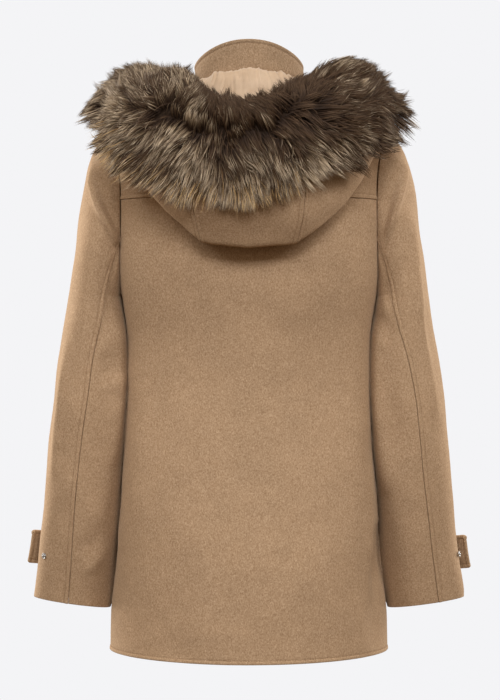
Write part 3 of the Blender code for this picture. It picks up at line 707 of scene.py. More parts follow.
# ---- meshes
def add_mesh(name, points, faces, finish):
    """A mesh from arrays: points, then faces of the same number of corners, or a list of both."""
    groups = faces if isinstance(faces, list) else [faces]
    loops = np.concatenate([group.reshape(-1) for group in groups]).astype(np.int32)
    totals = np.concatenate([np.full(len(g), g.shape[1], np.int32) for g in groups])
    starts = np.concatenate([[0], np.cumsum(totals)[:-1]]).astype(np.int32)
    mesh = bpy.data.meshes.new(name)
    mesh.vertices.add(len(points))
    mesh.vertices.foreach_set("co", np.asarray(points, np.float32).reshape(-1))
    mesh.loops.add(len(loops))
    mesh.loops.foreach_set("vertex_index", loops)
    mesh.polygons.add(len(totals))
    mesh.polygons.foreach_set("loop_start", starts)
    mesh.polygons.foreach_set("loop_total", totals)
    mesh.update(calc_edges=True)
    mesh.validate()
    mesh.shade_smooth()
    mesh.materials.append(finish)
    made = bpy.data.objects.new(name, mesh)
    bpy.context.collection.objects.link(made)
    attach(made, "root")
    return made


def grid_faces(rows, columns, offset=0):
    """Quads of a grid of points, wound to face outwards."""
    row, column = np.meshgrid(np.arange(rows - 1), np.arange(columns - 1), indexing="ij")
    a = (row * columns + column).reshape(-1) + offset
    return np.stack([a, a + 1, a + columns + 1, a + columns], axis=1)


def border_of(rows, columns):
    """Indices round the edge of a grid, to the right along the bottom first."""
    index = np.arange(rows * columns).reshape(rows, columns)
    return np.concatenate([index[0], index[1:, -1], index[-1, -2::-1], index[-2:0:-1, 0]])


def wall(name, outer, inner, finish):
    """A closed cloth wall between two grids of points."""
    rows, columns = outer.shape[:2]
    count = rows * columns
    points = np.concatenate([outer.reshape(-1, 3), inner.reshape(-1, 3)])
    front = grid_faces(rows, columns)
    back = grid_faces(rows, columns, count)[:, ::-1]
    border = border_of(rows, columns)
    following = np.roll(border, -1)
    rim = np.stack([following, border, border + count, following + count], axis=1)
    return add_mesh(name, points, np.concatenate([front, back, rim]), finish)


def tube_faces(rings, sides):
    """Faces of a closed tube of rings of points: its sides, then its two ends."""
    ring, corner = np.meshgrid(np.arange(rings - 1), np.arange(sides), indexing="ij")
    a = (ring * sides + corner).reshape(-1)
    b = (ring * sides + (corner + 1) % sides).reshape(-1)
    ends = np.array([np.arange(sides)[::-1], (rings - 1) * sides + np.arange(sides)])
    return np.stack([a, b, b + sides, a + sides], axis=1), ends


def mirrored(face):
    flip = np.array([-1, 1, 1])
    return Face((face.points * flip)[:, ::-1], (face.normals * flip)[:, ::-1])


def read_line(at, length, line):
    """Points or normals of a line, read at lengths along it."""
    return np.stack([np.interp(at, length, line[:, i]) for i in range(3)], axis=-1)


def stitched(lines):
    """Points and faces of all stitches along lines of (points, normals)."""
    angles = np.linspace(0, 2 * math.pi, STITCH_SIDES, endpoint=False)
    points = []
    for line, normals in lines:
        length = run_length(line, 0)
        count = max(int(length[-1] / STITCH_PITCH), 1)
        at = (np.arange(count) + 0.5) * length[-1] / count
        at = at + rng.uniform(-STITCH_JITTER, STITCH_JITTER, count)
        middle = read_line(at, length, line)
        up = unit(read_line(at, length, normals))
        along = unit(read_line(at + 0.001, length, line) - middle + 1e-9)
        side = unit(np.cross(up, along))
        rings = []
        for place, radius, height in STITCH_RINGS:
            centre = middle + along * place * STITCH_LENGTH + up * height * STITCH_RADIUS
            for angle in angles:
                turned = side * math.cos(angle) + up * math.sin(angle)
                rings.append(centre + turned * radius * STITCH_RADIUS)
        points.append(np.stack(rings, axis=1))
    points = np.concatenate(points)
    sides, ends = tube_faces(len(STITCH_RINGS), STITCH_SIDES)
    starts = points.shape[1] * np.arange(len(points))[:, None, None]
    faces = [sides[:, [0, 3, 2, 1]] + starts, ends[:, ::-1] + starts]
    return points.reshape(-1, 3), [group.reshape(-1, 4) for group in faces]


def inset_line(face, distances, row):
    """The line on a face that a row of stitches follows."""
    grid, normals, distance = face.points, face.normals, distances[row.edge]
    if row.edge in ("bottom", "top"):
        grid, normals, distance = (np.swapaxes(a, 0, 1) for a in (grid, normals, distance))
    if row.edge in ("right", "top"):
        grid, normals, distance = grid[:, ::-1], normals[:, ::-1], distance[:, ::-1]
    line, up = [], []
    for place, normal, away in zip(grid, normals, distance):
        line.append(read_line(row.inset, away, place))
        up.append(read_line(row.inset, away, normal))
    line, up = np.array(line), unit(np.array(up))
    length = run_length(line, 0)
    inside = (length >= row.start) & (length <= length[-1] - row.end)
    return line[inside], up[inside]


def cloth_wall(face, distances, creases, stitching, seed, free_edges, through):
    """Outer and inner points of a panel with its relief."""
    nap = nap_relief(face.points, seed)
    calm = np.clip(np.minimum.reduce(list(distances.values())) / CALM_REACH, 0, 1)
    eased = calm * calm * (3 - 2 * calm)
    relief = (creases + nap) * (CALM_SHARE + (1 - CALM_SHARE) * eased)
    sunk = sum((stitch_relief(distances[row.edge], row.inset) for row in stitching), 0 * nap)
    relief = relief + sunk + sum(rounding(distance) for distance in distances.values())
    hollow = sum((rounding(distances[edge]) for edge in free_edges), sunk * through)
    beneath = (creases + nap) * calm - WOOL - hollow
    outer = face.points + face.normals * relief[..., None]
    return outer, face.points + face.normals * beneath[..., None]


# ---- materials
def srgb(*values):
    """A linear colour from the 0 to 255 values that a picture shows."""
    scaled = [value / 255 for value in values]
    return (*[v / 12.92 if v < 0.04045 else ((v + 0.055) / 1.055) ** 2.4 for v in scaled], 1.0)


def feed(tree, node, inputs):
    """Sets a node's inputs, each to a value or to the socket that it is linked with."""
    for name, value in inputs.items():
        if isinstance(value, bpy.types.NodeSocket):
            tree.links.new(value, node.inputs[name])
        else:
            node.inputs[name].default_value = value


def add_node(tree, kind, inputs, **settings):
    node = tree.nodes.new(f"ShaderNode{kind}")
    for name, value in settings.items():
        setattr(node, name, value)
    feed(tree, node, inputs)
    return node


def new_material(name, roughness, specular):
    made = bpy.data.materials.new(name)
    made.use_nodes = True
    tree = made.node_tree
    shader = tree.nodes["Principled BSDF"]
    feed(tree, shader, {"Roughness": roughness, "Specular IOR Level": specular})
    return made, tree, shader, add_node(tree, "TexCoord", {}).outputs["Object"]


def noise(tree, vector, scale, detail=3.0, roughness=0.55, distortion=0.0):
    inputs = {"Vector": vector, "Scale": scale, "Detail": detail}
    inputs |= {"Roughness": roughness, "Distortion": distortion}
    return add_node(tree, "TexNoise", inputs).outputs["Fac"]


def ramp(tree, value, stops):
    """A colour read off a ramp, which is given as places and colours."""
    node = add_node(tree, "ValToRGB", {"Fac": value})
    elements = node.color_ramp.elements
    while len(elements) < len(stops):
        elements.new(0.5)
    for element, (place, color) in zip(elements, stops):
        element.position = place
        element.color = color
    return node.outputs["Color"]


def mottled(tree, vector, low, high, *settings):
    """A colour that changes in soft patches between two colours."""
    return ramp(tree, noise(tree, vector, *settings), [(0.3, low), (0.7, high)])


def multiplied(tree, first, second):
    inputs = {"Factor": 1.0, "A": first, "B": second}
    return add_node(tree, "Mix", inputs, data_type="RGBA", blend_type="MULTIPLY").outputs["Result"]


def bumped(tree, height, strength, distance, before=None):
    inputs = {"Height": height, "Strength": strength, "Distance": distance}
    if before:
        inputs["Normal"] = before
    return add_node(tree, "Bump", inputs).outputs["Normal"]


def grey(value):
    return (value, value, value, 1.0)


WOOL_FIBRES = [
    (0.28, srgb(136, 107, 79)),
    (0.50, srgb(165, 136, 106)),
    (0.74, srgb(195, 166, 136)),
]


def wool_material(name, painted_shade):
    """Melton: fibres of three shades felted together, with a short nap."""
    made, tree, shader, vector = new_material(name, 0.92, 0.18)
    combed = add_node(tree, "Mapping", {"Vector": vector, "Scale": (1.0, 1.0, 0.7)})
    fibres = noise(tree, combed.outputs["Vector"], 560, 4.0, 0.70, 0.4)
    patches = mottled(tree, vector, grey(0.97), grey(1.03), 60)
    # painted_shade scales the whole colour down; below 1 it paints shade into the cloth.
    broad = mottled(tree, vector, grey(0.95 * painted_shade), grey(1.04 * painted_shade), 7, 2.0)
    color = multiplied(tree, ramp(tree, fibres, WOOL_FIBRES), patches)
    coarse = bumped(tree, noise(tree, vector, 330, 3.0, 0.6), 0.30, 0.0007)
    inputs = {"Base Color": multiplied(tree, color, broad), "Sheen Tint": srgb(235, 210, 180)}
    inputs |= {"Sheen Weight": 0.30, "Sheen Roughness": 0.45}
    inputs["Normal"] = bumped(tree, fibres, 0.45, 0.0006, coarse)
    feed(tree, shader, inputs)
    return made


def mottled_material(name, roughness, specular, colors, *settings, metallic=0.0):
    """A finish whose only detail is a fine change between two colours."""
    made, tree, shader, vector = new_material(name, roughness, specular)
    color = mottled(tree, vector, *colors, *settings)
    feed(tree, shader, {"Base Color": color, "Metallic": metallic})
    return made


def satin_material():
    """Apricot lining: a fine twill with a soft sheen."""
    made, tree, shader, vector = new_material("apricot_lining", 0.55, 0.25)
    inputs = {"Vector": vector, "Scale": 420, "Distortion": 1.5}
    settings = {"wave_type": "BANDS", "bands_direction": "DIAGONAL"}
    weave = add_node(tree, "TexWave", inputs, **settings).outputs["Fac"]
    cloudy = mottled(tree, vector, srgb(172, 145, 116), srgb(191, 165, 138), 30)
    lines = ramp(tree, weave, [(0.0, grey(0.93)), (1.0, grey(1.0))])
    inputs = {"Base Color": multiplied(tree, cloudy, lines), "Sheen Weight": 0.2}
    feed(tree, shader, inputs | {"Normal": bumped(tree, weave, 0.15, 0.0003)})
    return made


HAIR_ROOT = srgb(38, 25, 16)
DARK_HAIR = [
    (0.0, HAIR_ROOT),
    (0.45, srgb(54, 37, 24)),
    (0.78, srgb(78, 57, 39)),
    (1.0, srgb(45, 32, 22)),
]
PALE_HAIR = [
    (0.0, HAIR_ROOT),
    (0.26, srgb(70, 53, 38)),
    (0.54, srgb(152, 130, 102)),
    (0.76, srgb(206, 186, 158)),
    (1.0, srgb(80, 65, 52)),
]
GUARD_HAIR = [
    (0.0, HAIR_ROOT),
    (0.4, srgb(120, 88, 52)),
    (0.8, srgb(214, 176, 118)),
    (1.0, srgb(226, 190, 132)),
]


def fur_material(name, dark, pale):
    """Banded hair. The map runs along the hair in V and from dark to pale hair in U."""
    made, tree, shader, _ = new_material(name, 0.60, 0.14)
    chart = add_node(tree, "UVMap", {}, uv_map="OFBake").outputs["UV"]
    u, v, _ = add_node(tree, "SeparateXYZ", {"Vector": chart}).outputs
    inputs = {"Factor": u, "A": ramp(tree, v, dark), "B": ramp(tree, v, pale)}
    banded = add_node(tree, "Mix", inputs, data_type="RGBA").outputs["Result"]
    feed(tree, shader, {"Base Color": banded})
    return made


wool = wool_material("camel_wool_melton", 1.0)
# The collar's wool is painted darker: painted shade, as though the collar got less light than the
# back.
collar_wool_painted_shade = wool_material("camel_wool_painted_shade", 0.76)
satin = satin_material()
STRAW = srgb(132, 103, 74), srgb(164, 134, 102)
STEEL = grey(0.36), grey(0.50)
PEAT = srgb(26, 18, 12), srgb(52, 39, 29)
thread = mottled_material("camel_thread", 0.7, 0.3, STRAW, 900, 2.0)
nickel = mottled_material("brushed_nickel", 0.32, 0.5, STEEL, 900, 2.0, metallic=1.0)
underfur = mottled_material("brown_underfur", 0.9, 0.1, PEAT, 260, 3.0, 0.7)

# ---- the cut
# Flat size of each cloth piece before it is sewn: width, length and area of the cut.
Cut = namedtuple("Cut", "width length area")


def declare(node):
    """Hides the part's piece that a cloth panel stands for."""
    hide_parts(node)


def make_cloth(
    node, face, creases, stitching, seed, free_edges=(), through=False, finish=wool
):
    """A panel as a wall, with its stitches, which may show through on its other side."""
    distances = edge_distances(face.points)
    outer, inner = cloth_wall(face, distances, creases, stitching, seed, free_edges, through)
    made = wall(f"{node}_cloth", outer, inner, finish)
    shown = [Face(outer, face.normals)] + [Face(inner, -face.normals)] * through
    lines = [inset_line(side, distances, row) for side in shown for row in stitching]
    if lines:
        add_mesh(f"{node}_cloth_stitches", *stitched(lines), thread)
    declare(node)


# ---- body panels
def plane_of(face):
    return face.points[..., 0], face.points[..., 2]


def make_back():
    """The back and the yoke above it, which share their creases."""
    for node, low, high, inset, held, above, free_edges in (
        ("back", HEM, YOKE, HEM_STITCH, "hung", "back_yoke_cloth", ("bottom",)),
        ("back_yoke", YOKE, NECK, TOPSTITCH, "draped", "collar_cloth", ()),
    ):
        face = ring_face(BODY, body_levels(low, high), back_edges)
        creases = crease_relief(BACK_CREASES, *plane_of(face))
        rows = [Stitching("bottom", inset)]
        make_cloth(node, face, creases, rows, 11, free_edges)


def make_front(side):
    """A front with a hidden fastening. The wearer's right laps over the left."""
    levels = body_levels(HEM, NECK, FRONT_STEP)
    face = ring_face(BODY, levels, front_edges, step=FRONT_STEP)
    lower = 0.0
    if side == "right":
        beyond = face.points[..., 0] - LAP - LAP_REST
        lift = np.clip(1 - beyond / LAP_RAMP, 0, 1) * (WOOL + REST_GAP)
        face = Face(face.points + face.normals * lift[..., None], face.normals)
    else:
        face, lower = mirrored(face), LEFT_CREASES_LOWER
    across, up = plane_of(face)
    beside_lap = np.clip((abs(across) - LAP - LAP_REST) / LAP_RAMP, 0, 1)
    creases = beside_lap * crease_relief(FRONT_CREASES, abs(across), up + lower)
    rows = [Stitching("bottom", HEM_STITCH, 0.004, 0.006), Stitching(side, TOPSTITCH, 0.004, 0.02)]
    rests_on, free_edges = ["back_yoke_cloth"], ("bottom", side)
    make_cloth(f"front_{side}", face, creases, rows, 21, free_edges)


def make_collar():
    edge = 180 - COLLAR_OPENING
    top = 1 - np.array(edge_steps(HEM_STITCH))[::-1] / COLLAR_HEIGHT
    levels = np.concatenate([np.linspace(0, top[0], 16)[:-1], top])
    face = ring_face(COLLAR, levels, lambda level: (-edge, edge), HEM_STITCH)
    face.points[..., 2] += REST_GAP
    rows = [Stitching("top", HEM_STITCH, 0.006, 0.006)]
    rows += [Stitching(end, HEM_STITCH, 0.004, 0.006) for end in ("left", "right")]
    rests_on, free_edges = ["back_yoke_cloth"], ("top", "left", "right")
    # The collar's wool has painted shade: it is coloured darker than the back.
    make_cloth("collar", face, 0, rows, 31, free_edges, finish=collar_wool_painted_shade)


# ---- sleeves
def make_sleeve(side):
    for part in ("top", "under"):
        face, seam, rear_creases = sleeve_face(part, side == "right"), "left", RIGHT_SLEEVE_CREASES
        if side == "left":
            face, seam, rear_creases = mirrored(face), "right", LEFT_SLEEVE_CREASES
        across, up = plane_of(face)
        ahead = SIDE_GROWTH * face.normals[..., 1]
        creases = np.clip(SIDE_SHARE - ahead, 0, 1) * crease_relief(rear_creases, across, up)
        in_front = crease_relief(FRONT_SLEEVE_CREASES, abs(across), up)
        creases = creases + np.clip(SIDE_SHARE + ahead, 0, 1) * in_front
        rows = [Stitching(seam, TOPSTITCH)] if part == "top" else []
        node = f"sleeve_{part}_{side}"
        make_cloth(node, face, creases, rows, 41, ("bottom",))


def tab_face(middle):
    """A cuff strap sewn into the front seam, its free end standing off the outside."""
    back = float(read(SLEEVE, middle).back_seam)
    turns = np.linspace(back + (FRONT_SEAM - back) * TAB_START, FRONT_SEAM, 26)
    ends = edge_steps(TAB_STITCH)
    free = np.array(ends + list(np.linspace(ends[-1], TAB_FREE, 6)[1:-1]))
    missing = np.clip(TAB_CORNER - free, 0, TAB_CORNER)
    rounded = TAB_CORNER - np.sqrt(TAB_CORNER**2 - missing**2)
    rows = []
    for height in places(TAB_WIDTH, 7, ends) - TAB_WIDTH / 2:
        on_sleeve = sleeve_points(middle + height, turns)
        leaving = unit(on_sleeve[0] - on_sleeve[1])
        shorter = 1 - TAB_LEAN / TAB_FREE * (height / TAB_WIDTH + 0.5)
        beyond = on_sleeve[0] + leaving * (TAB_FREE - free)[:, None] * shorter
        beyond[:, 2] -= rounded * math.hypot(1, SLEEVE_SLANT) * height / (TAB_WIDTH / 2)
        rows.append(np.concatenate([beyond, on_sleeve]))
    points = np.array(rows)
    normals = grid_normals(points)
    return Face(points + normals * (REST_GAP + WOOL), normals)


def make_tab(side):
    face, free, trims = tab_face(TAB_Z[side]), "left", (TAB_STITCH, 0.002)
    if side == "left":
        face, free, trims = mirrored(face), "right", trims[::-1]
    rows = [Stitching(edge, TAB_STITCH, *trims) for edge in ("top", "bottom")]
    rows.append(Stitching(free, TAB_STITCH, TAB_STITCH, TAB_STITCH))
    rests_on, free_edges = [f"sleeve_top_{side}_cloth"], ("top", "bottom", free)
    make_cloth(f"cuff_tab_{side}", face, 0, rows, 51, free_edges, True)


def make_stud(side):
    """A press stud on the back of the sleeve: a domed cap with a rolled rim and a dimple."""
    place = sleeve_points(STUD_Z, STUD_TURN[side])
    up = sleeve_points(STUD_Z + 0.002, STUD_TURN[side]) - place
    across = sleeve_points(STUD_Z, STUD_TURN[side] + 1) - place
    normal, across = unit(np.cross(across, up)), unit(across)
    angles = np.linspace(0, 2 * math.pi, STUD_SIDES, endpoint=False)[:, None]
    circle = across * np.cos(angles) + np.cross(normal, across) * np.sin(angles)
    points = np.array([place + circle * r + normal * (height + REST_GAP) for r, height in STUD])
    if side == "left":
        points = (points * (-1, 1, 1))[:, ::-1]
    faces = list(tube_faces(len(STUD), STUD_SIDES))
    made = add_mesh(f"press_stud_{side}_cap", points.reshape(-1, 3), faces, nickel)
    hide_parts(f"press_stud_{side}")


# ---- hood
def hood_face(turns):
    points = np.stack([hood_section(turn) for turn in turns], axis=1)
    return Face(points, grid_normals(points))


def hood_creases(face):
    """Creases of the outer wall, which are left off the wall that lies against the back."""
    outside = np.clip(-face.normals[..., 1] * 2, 0, 1)
    return outside * crease_relief(HOOD_CREASES, *plane_of(face))


def make_hood():
    left, centre, right = hood_turns()
    whole = hood_face(np.concatenate([left[:-1], centre, right[1:]]))
    creases = hood_creases(whole)
    first, last = len(left) - 1, len(left) + len(centre) - 2
    for node, columns, seams in (
        ("hood_side_left", slice(0, first + 1), ("right",)),
        ("hood_centre", slice(first, last + 1), ("left", "right")),
        ("hood_side_right", slice(last, None), ("left",)),
    ):
        face = Face(whole.points[:, columns].copy(), whole.normals[:, columns])
        for edge, inside in ((0, 1), (-1, -2)):
            step = unit(face.points[:, inside] - face.points[:, edge])
            face.points[:, edge] += step * SEAM_GAP / 2
        rows = [Stitching(seam, TOPSTITCH, HOOD_STITCHED, 0.01) for seam in seams]
        make_cloth(node, face, creases[:, columns], rows, 61)


def make_lining():
    """The lining follows the shell, gathered where it turns over the collar."""
    side = np.linspace(LINING_FINE, HOOD_END, 34)[1:]
    turns = np.concatenate([-side[::-1], np.linspace(-LINING_FINE, LINING_FINE, 121), side])
    whole = hood_face(turns)
    down = run_length(whole.points, 0)
    drift = DRIFT * soft_noise(whole.points, DRIFT_SIZE, 81)
    gathers = np.zeros(down.shape)
    for waves, height, phase in GATHERS:
        gathers = gathers + height * abs(np.sin(waves * np.radians(turns) / 2 + phase + drift))
    behind = np.clip((GATHERED - abs(turns)) / GATHERED_FADE, 0, 1)
    uneven = 1 - UNEVEN + UNEVEN * soft_noise(whole.points, UNEVEN_SIZE, 82)
    gathers = gathers * behind * uneven
    near_roll = bell(down, down[HOOD_STEPS * 2], GATHER_REACH)
    wrinkles = crease_relief(LINING_CREASES, *plane_of(whole))
    puckers = np.maximum(near_roll * (gathers - gathers.min()) + wrinkles, 0)
    depth = WOOL + SEAM_GAP + LINING_EASE + puckers
    relief = hood_creases(whole) + nap_relief(whole.points, 61) - depth
    outer = whole.points + whole.normals * relief[..., None]
    made = wall("hood_lining_cloth", outer, outer - whole.normals * LINING, satin)
    declare("hood_lining")


# ---- fur
def saddle(turn, along):
    """Middle line of the fur's saddle: radius, height, their direction and half its depth.

    along is 0 at the tip over the lining, 1 at the crest and 2 at the tip over the shell.
    """
    row = read(FUR, abs(turn))
    for shift in SHIFTS:
        share = bell(turn, shift.turn, shift.reach) * MM
        row = row._replace(
            in_z=row.in_z + shift.in_z * share,
            crest_z=row.crest_z + shift.crest_z * share,
            out_z=row.out_z + shift.out_z * share,
            out_r=row.out_r + shift.out_r * share,
        )
    past = along >= 1
    held = np.clip(along, 0, 2)
    t = held - past

    def curve(start, crest, end):
        knots = [2 * start - crest, start, crest, end, 2 * end - crest]
        a, b, c, d = (np.where(past, knots[i + 1], knots[i]) for i in range(4))
        slope = a * (4 * t - 3 * t**2 - 1) + b * (9 * t**2 - 10 * t)
        slope = slope + c * (1 + 8 * t - 9 * t**2) + d * (3 * t**2 - 2 * t)
        return spline(t, a, b, c, d), slope / 2

    r, slope_r = curve(row.in_r, row.crest_r, row.out_r)
    z, slope_z = curve(row.in_z, row.crest_z, row.out_z)
    r, z = r + slope_r * (along - held), z + slope_z * (along - held)
    size = np.hypot(slope_r, slope_z)
    half = row.depth / 2 * (FUR_TIP + (1 - FUR_TIP) * np.sin(held * math.pi / 2))
    return r, z, slope_r / size, slope_z / size, half


def fur_point(turn, along, height):
    """A point of the saddle. height is 0 on its middle line and 1 on its upper face."""
    r, z, run_r, run_z, half = saddle(turn, along)
    return fan_point(turn, r - run_z * half * height, z + run_r * half * height)


def make_underfur():
    """The dense dark undercoat, a slimmer copy of the fur's saddle."""
    turns = np.linspace(-HOOD_END + 1, HOOD_END - 1, 120)
    along = np.linspace(*UNDERFUR, 20)
    upper = np.stack([fur_point(turns, a, FUR_CORE) for a in along])
    lower = np.stack([fur_point(turns, a, -FUR_CORE) for a in along])
    made = wall("fur_underfur", upper[:, ::-1], lower[:, ::-1], underfur)
    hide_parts("fur_trim")


def from_parting(points):
    """Vectors across and up to the points from the parting, and how far away it is."""
    return nearest_on(np.array(PARTING), points[..., [0, 2]])[:2]


def combing(turn, along, shift):
    """Rates of turn and along of hair combed at a place of the saddle, and its normal there."""
    here = fur_point(turn, along, 1.0)
    by_turn = (fur_point(turn + 0.5, along, 1.0) - here) / 0.5
    by_along = (fur_point(turn, along + 0.01, 1.0) - here) / 0.01
    normal = unit(np.cross(by_along, by_turn))
    offset, distance = from_parting(here + shift)
    away = np.stack([offset[..., 0], 0 * distance, offset[..., 1]], axis=-1)
    away = unit(away + 1e-6)
    sideways = np.stack([-away[..., 2], 0 * distance, away[..., 0]], axis=-1)
    sway = sum(amount * soft_noise(here, size, seed) for amount, size, seed in SWAYS)
    away = unit(away + sideways * sway[..., None])
    part = read(FUR, abs(turn)).part
    straight = unit(by_along) * np.where(along > part, 1, -1)[..., None]
    low, high = TURN_OF_FRONT
    front = np.clip((abs(turn) - low) / (high - low), 0, 1)[..., None]
    away = unit(away * (1 - front) + straight * front)
    flat = away - (away * normal).sum(axis=-1)[..., None] * normal
    aa, bb = (by_turn**2).sum(axis=-1), (by_along**2).sum(axis=-1)
    ab = (by_turn * by_along).sum(axis=-1)
    fa, fb = (flat * by_turn).sum(axis=-1), (flat * by_along).sum(axis=-1)
    size = aa * bb - ab**2
    return (fa * bb - fb * ab) / size, (fb * aa - fa * ab) / size, normal


def pelt_tone(points):
    """How much paler than its pelt the hair is, at places on it."""
    tone = PATCHES * soft_noise(points, PATCH_SIZE, 73)
    for spot in SPOTS:
        distance = np.hypot(points[..., 0] - spot.x * MM, points[..., 2] - spot.z * MM)
        tone = tone + spot.tone * bell(distance, 0, spot.radius * MM)
    return tone


def grown_tufts(pelt):
    """Centre lines of tufts, which follow the saddle and stand off it by their stiffness."""
    turn = rng.uniform(pelt.low, pelt.high, pelt.count)
    along = rng.uniform(*pelt.roots, pelt.count)
    length = rng.uniform(*pelt.length, pelt.count)
    here = fur_point(turn, along, 1.0)
    length = length * np.clip(PARTED_LENGTH + from_parting(here)[1] / PARTED_REACH, 0, 1)
    shift = rng.normal(0, PARTING_BLUR, (pelt.count, 3))
    rates = combing(turn, along, shift)
    normal = rates[2]
    inward = (rates[1] < 0) * bell(turn, INNER_TURN, INNER_REACH)
    length = length * (1 - INNER_SHORT * inward)
    length = length * np.clip((HOOD_END + PAST_END - abs(turn)) / SHORTER, 0, 1)
    room = np.where(rates[1] > 0, FUR_ENDS[1] - along, along - FUR_ENDS[0])
    length = length * np.clip(room / np.maximum(abs(rates[1] * length), 1e-6), 0.3, 1)
    deep = rng.uniform(*ROOT_HEIGHTS, pelt.count)
    top = rng.uniform(*TIP_HEIGHTS, pelt.count)
    path = [fur_point(turn, along, deep)]
    for k in range(1, HAIR_POINTS):
        rate_turn, rate_along, _ = combing(turn, along, shift)
        step = length / (HAIR_POINTS - 1)
        turn = turn + rate_turn * step
        along = np.clip(along + rate_along * step, *FUR_ENDS)
        t = k / (HAIR_POINTS - 1)
        path.append(fur_point(turn, along, deep + (top - deep) * math.sin(t * math.pi / 2)))
    path = np.stack(path, axis=1)
    t = np.linspace(0, 1, HAIR_POINTS)[:, None]
    ahead = unit(path[:, 2] - path[:, 0])[:, None]
    straight = path[:, :1] + ahead * length[:, None, None] * t
    stiffness = rng.uniform(*pelt.stiffness, (pelt.count, 1, 1))
    path = path + (straight - path) * stiffness * t
    tone = pelt.tone + pelt_tone(here) + rng.normal(0, TUFT_VARIES, pelt.count)
    return Tufts(path, normal[:, None], tone)


def hairs_of(pelt):
    """Paths and tones of the hairs of a pelt's tufts, which close towards their tips."""
    tufts = grown_tufts(pelt)
    forward = unit(np.gradient(tufts.path, axis=1) + 1e-9)
    side = unit(np.cross(forward, tufts.normal))
    up = np.cross(side, forward)
    shape = (pelt.count, pelt.hairs)
    t = np.linspace(0, 1, HAIR_POINTS)[:, None]
    steps = (rng.uniform(*HAIR_LENGTHS, (*shape, 1)) * t[:, 0]) * (HAIR_POINTS - 1)
    low = np.minimum(steps.astype(int), HAIR_POINTS - 2)
    part = (steps - low)[..., None]
    rows = np.arange(pelt.count)[:, None, None]
    centre, side, up = (
        a[rows, low] * (1 - part) + a[rows, low + 1] * part for a in (tufts.path, side, up)
    )
    gather = pelt.spread * (1 - t) ** 0.8 + pelt.tip * t
    across = rng.normal(0, 1, (*shape, 1, 1)) * gather
    depth = rng.normal(0, 1, (*shape, 1, 1))
    wave = rng.normal(0, 1, (2, *shape, 1, 1)) * pelt.spread * WAVE * t * (1.2 - t)
    path = centre + side * (across + wave[0])
    path = path + up * (depth * gather * FLATNESS + wave[1] * WAVE_FLATNESS)
    # Hairs lower in a tuft get a darker tone: partly darker underhair, partly painted shade.
    tone = tufts.tone[:, None] + rng.normal(0, HAIR_VARIES, shape) + depth[..., 0, 0] * UNDERHAIR_AND_SHADE
    facing = unit(up + FACING_VARIES * rng.normal(size=path.shape[:2] + (1, 3)))
    keep = (-1, HAIR_POINTS, 3)
    facing = np.broadcast_to(facing, path.shape)
    return path.reshape(keep), facing.reshape(keep), np.clip(tone, 0.02, 0.98).reshape(-1)


def hair_mesh(name, pelts, finish):
    """All hairs of some pelts, as tapered ribbons."""
    grown = [hairs_of(pelt) for pelt in pelts]
    path, facing, tone = (np.concatenate(each) for each in zip(*grown))
    width = np.concatenate([np.full(len(g[0]), pelt.width) for g, pelt in zip(grown, pelts)])
    forward = unit(np.gradient(path, axis=1) + 1e-9)
    side = unit(np.cross(forward, facing))
    half = (width * rng.uniform(*HAIR_WIDTHS, len(path)) / 2)[:, None, None]
    half = half * np.array(HAIR_TAPER)[None, :, None]
    points = np.concatenate([path - side * half, (path + side * half)[:, :-1]], axis=1)
    each = HAIR_POINTS * 2 - 1
    quads = [[k, HAIR_POINTS + k, HAIR_POINTS + k + 1, k + 1] for k in range(HAIR_POINTS - 2)]
    tip = np.array([[HAIR_POINTS - 2, each - 1, HAIR_POINTS - 1]])
    starts = each * np.arange(len(path))[:, None, None]
    faces = [(np.array(quads) + starts).reshape(-1, 4), (tip + starts).reshape(-1, 3)]
    made = add_mesh(name, points.reshape(-1, 3), faces, finish)
    steps = np.linspace(0.02, 0.98, HAIR_POINTS)
    v = np.concatenate([steps, steps[:-1]])
    uv = np.stack([np.repeat(tone, each), np.tile(v, len(path))], axis=1)
    chart = made.data.uv_layers.new(name="OFBake")
    corners = np.zeros(len(made.data.loops), np.int32)
    made.data.loops.foreach_get("vertex_index", corners)
    chart.data.foreach_set("uv", uv[corners].astype(np.float32).reshape(-1))
    return made


def make_fur():
    make_underfur()
    banded = fur_material("banded_fur", DARK_HAIR, PALE_HAIR)
    golden = fur_material("golden_guard_hair", PALE_HAIR, GUARD_HAIR)
    for name, pelts in FUR_PIECES.items():
        hair_mesh(name, pelts, golden if "guard" in name else banded)


# ---- the coat
make_back()
make_collar()
make_hood()
make_lining()
for coat_side in ("left", "right"):
    make_front(coat_side)
    make_sleeve(coat_side)
    make_tab(coat_side)
    make_stud(coat_side)
make_fur()


# ---- camera and light
def add_area(name, place, target, size, power, color=(1, 1, 1)):
    light = bpy.data.lights.new(name, "AREA")
    light.shape = "RECTANGLE"
    light.size, light.size_y = size
    light.energy = power
    light.color = color
    made = bpy.data.objects.new(name, light)
    made.location = place
    aim = Vector(target) - Vector(place)
    made.rotation_euler = aim.to_track_quat("-Z", "Y").to_euler()
    bpy.context.collection.objects.link(made)
    return made


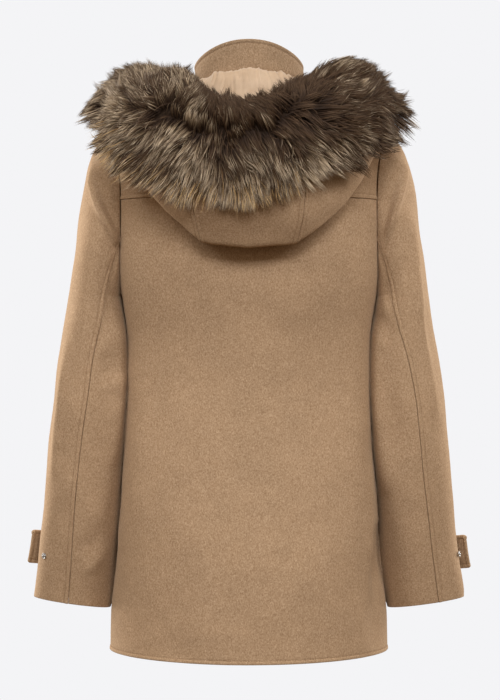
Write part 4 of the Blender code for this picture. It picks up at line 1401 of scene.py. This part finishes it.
def add_camera():
    camera = bpy.data.cameras.new("camera")
    camera.sensor_fit = "VERTICAL"
    camera.sensor_height = 24.0
    camera.lens = 74.85
    made = bpy.data.objects.new("camera", camera)
    made.location = (0.0017, -3.1, -0.355)
    made.rotation_euler = (math.radians(90), 0, 0)
    bpy.context.collection.objects.link(made)
    bpy.context.scene.camera = made


BACKDROP = srgb(244, 244, 246)
AMBIENT_ABOVE = (0.56, 0.49, 0.41, 1)
AMBIENT_BELOW = (0.15, 0.095, 0.050, 1)


def set_world():
    """An even backdrop for the camera, and a warm ambient light that is dimmer from below."""
    world = bpy.data.worlds.new("studio")
    world.use_nodes = True
    tree = world.node_tree
    tree.nodes.clear()
    way = add_node(tree, "TexCoord", {}).outputs["Generated"]
    parts = add_node(tree, "SeparateXYZ", {"Vector": way})
    level = add_node(tree, "MapRange", {"Value": parts.outputs["Z"], "From Min": -1.0})
    stops = [(0.35, AMBIENT_BELOW), (0.65, AMBIENT_ABOVE)]
    ambient = add_node(tree, "Background", {"Color": ramp(tree, level.outputs["Result"], stops)})
    seen = add_node(tree, "Background", {"Color": BACKDROP})
    path = add_node(tree, "LightPath", {})
    mix = add_node(tree, "MixShader", {"Fac": path.outputs["Is Camera Ray"]})
    tree.links.new(ambient.outputs["Background"], mix.inputs[1])
    tree.links.new(seen.outputs["Background"], mix.inputs[2])
    add_node(tree, "OutputWorld", {"Surface": mix.outputs["Shader"]})
    bpy.context.scene.world = world


add_camera()
set_world()
add_area("key", (0.20, -4.35, 2.45), (0, 0, -0.35), (2.6, 1.2), 150, (0.97, 1.0, 1.05))
add_area("side_left", (-3.0, -2.5, 2.3), (0, 0, -0.4), (0.9, 1.4), 62, (0.98, 1.0, 1.03))
add_area("side_right", (3.0, -2.5, 2.3), (0, 0, -0.4), (0.9, 1.4), 62, (0.98, 1.0, 1.03))
add_area("strip_left", (-2.0, 1.3, 0.0), (0, 0, -0.35), (0.7, 2.4), 80, (1.0, 0.94, 0.87))
add_area("strip_right", (2.0, 1.3, 0.0), (0, 0, -0.35), (0.7, 2.4), 50, (1.0, 0.94, 0.87))
bpy.context.scene.view_settings.view_transform = "Standard"
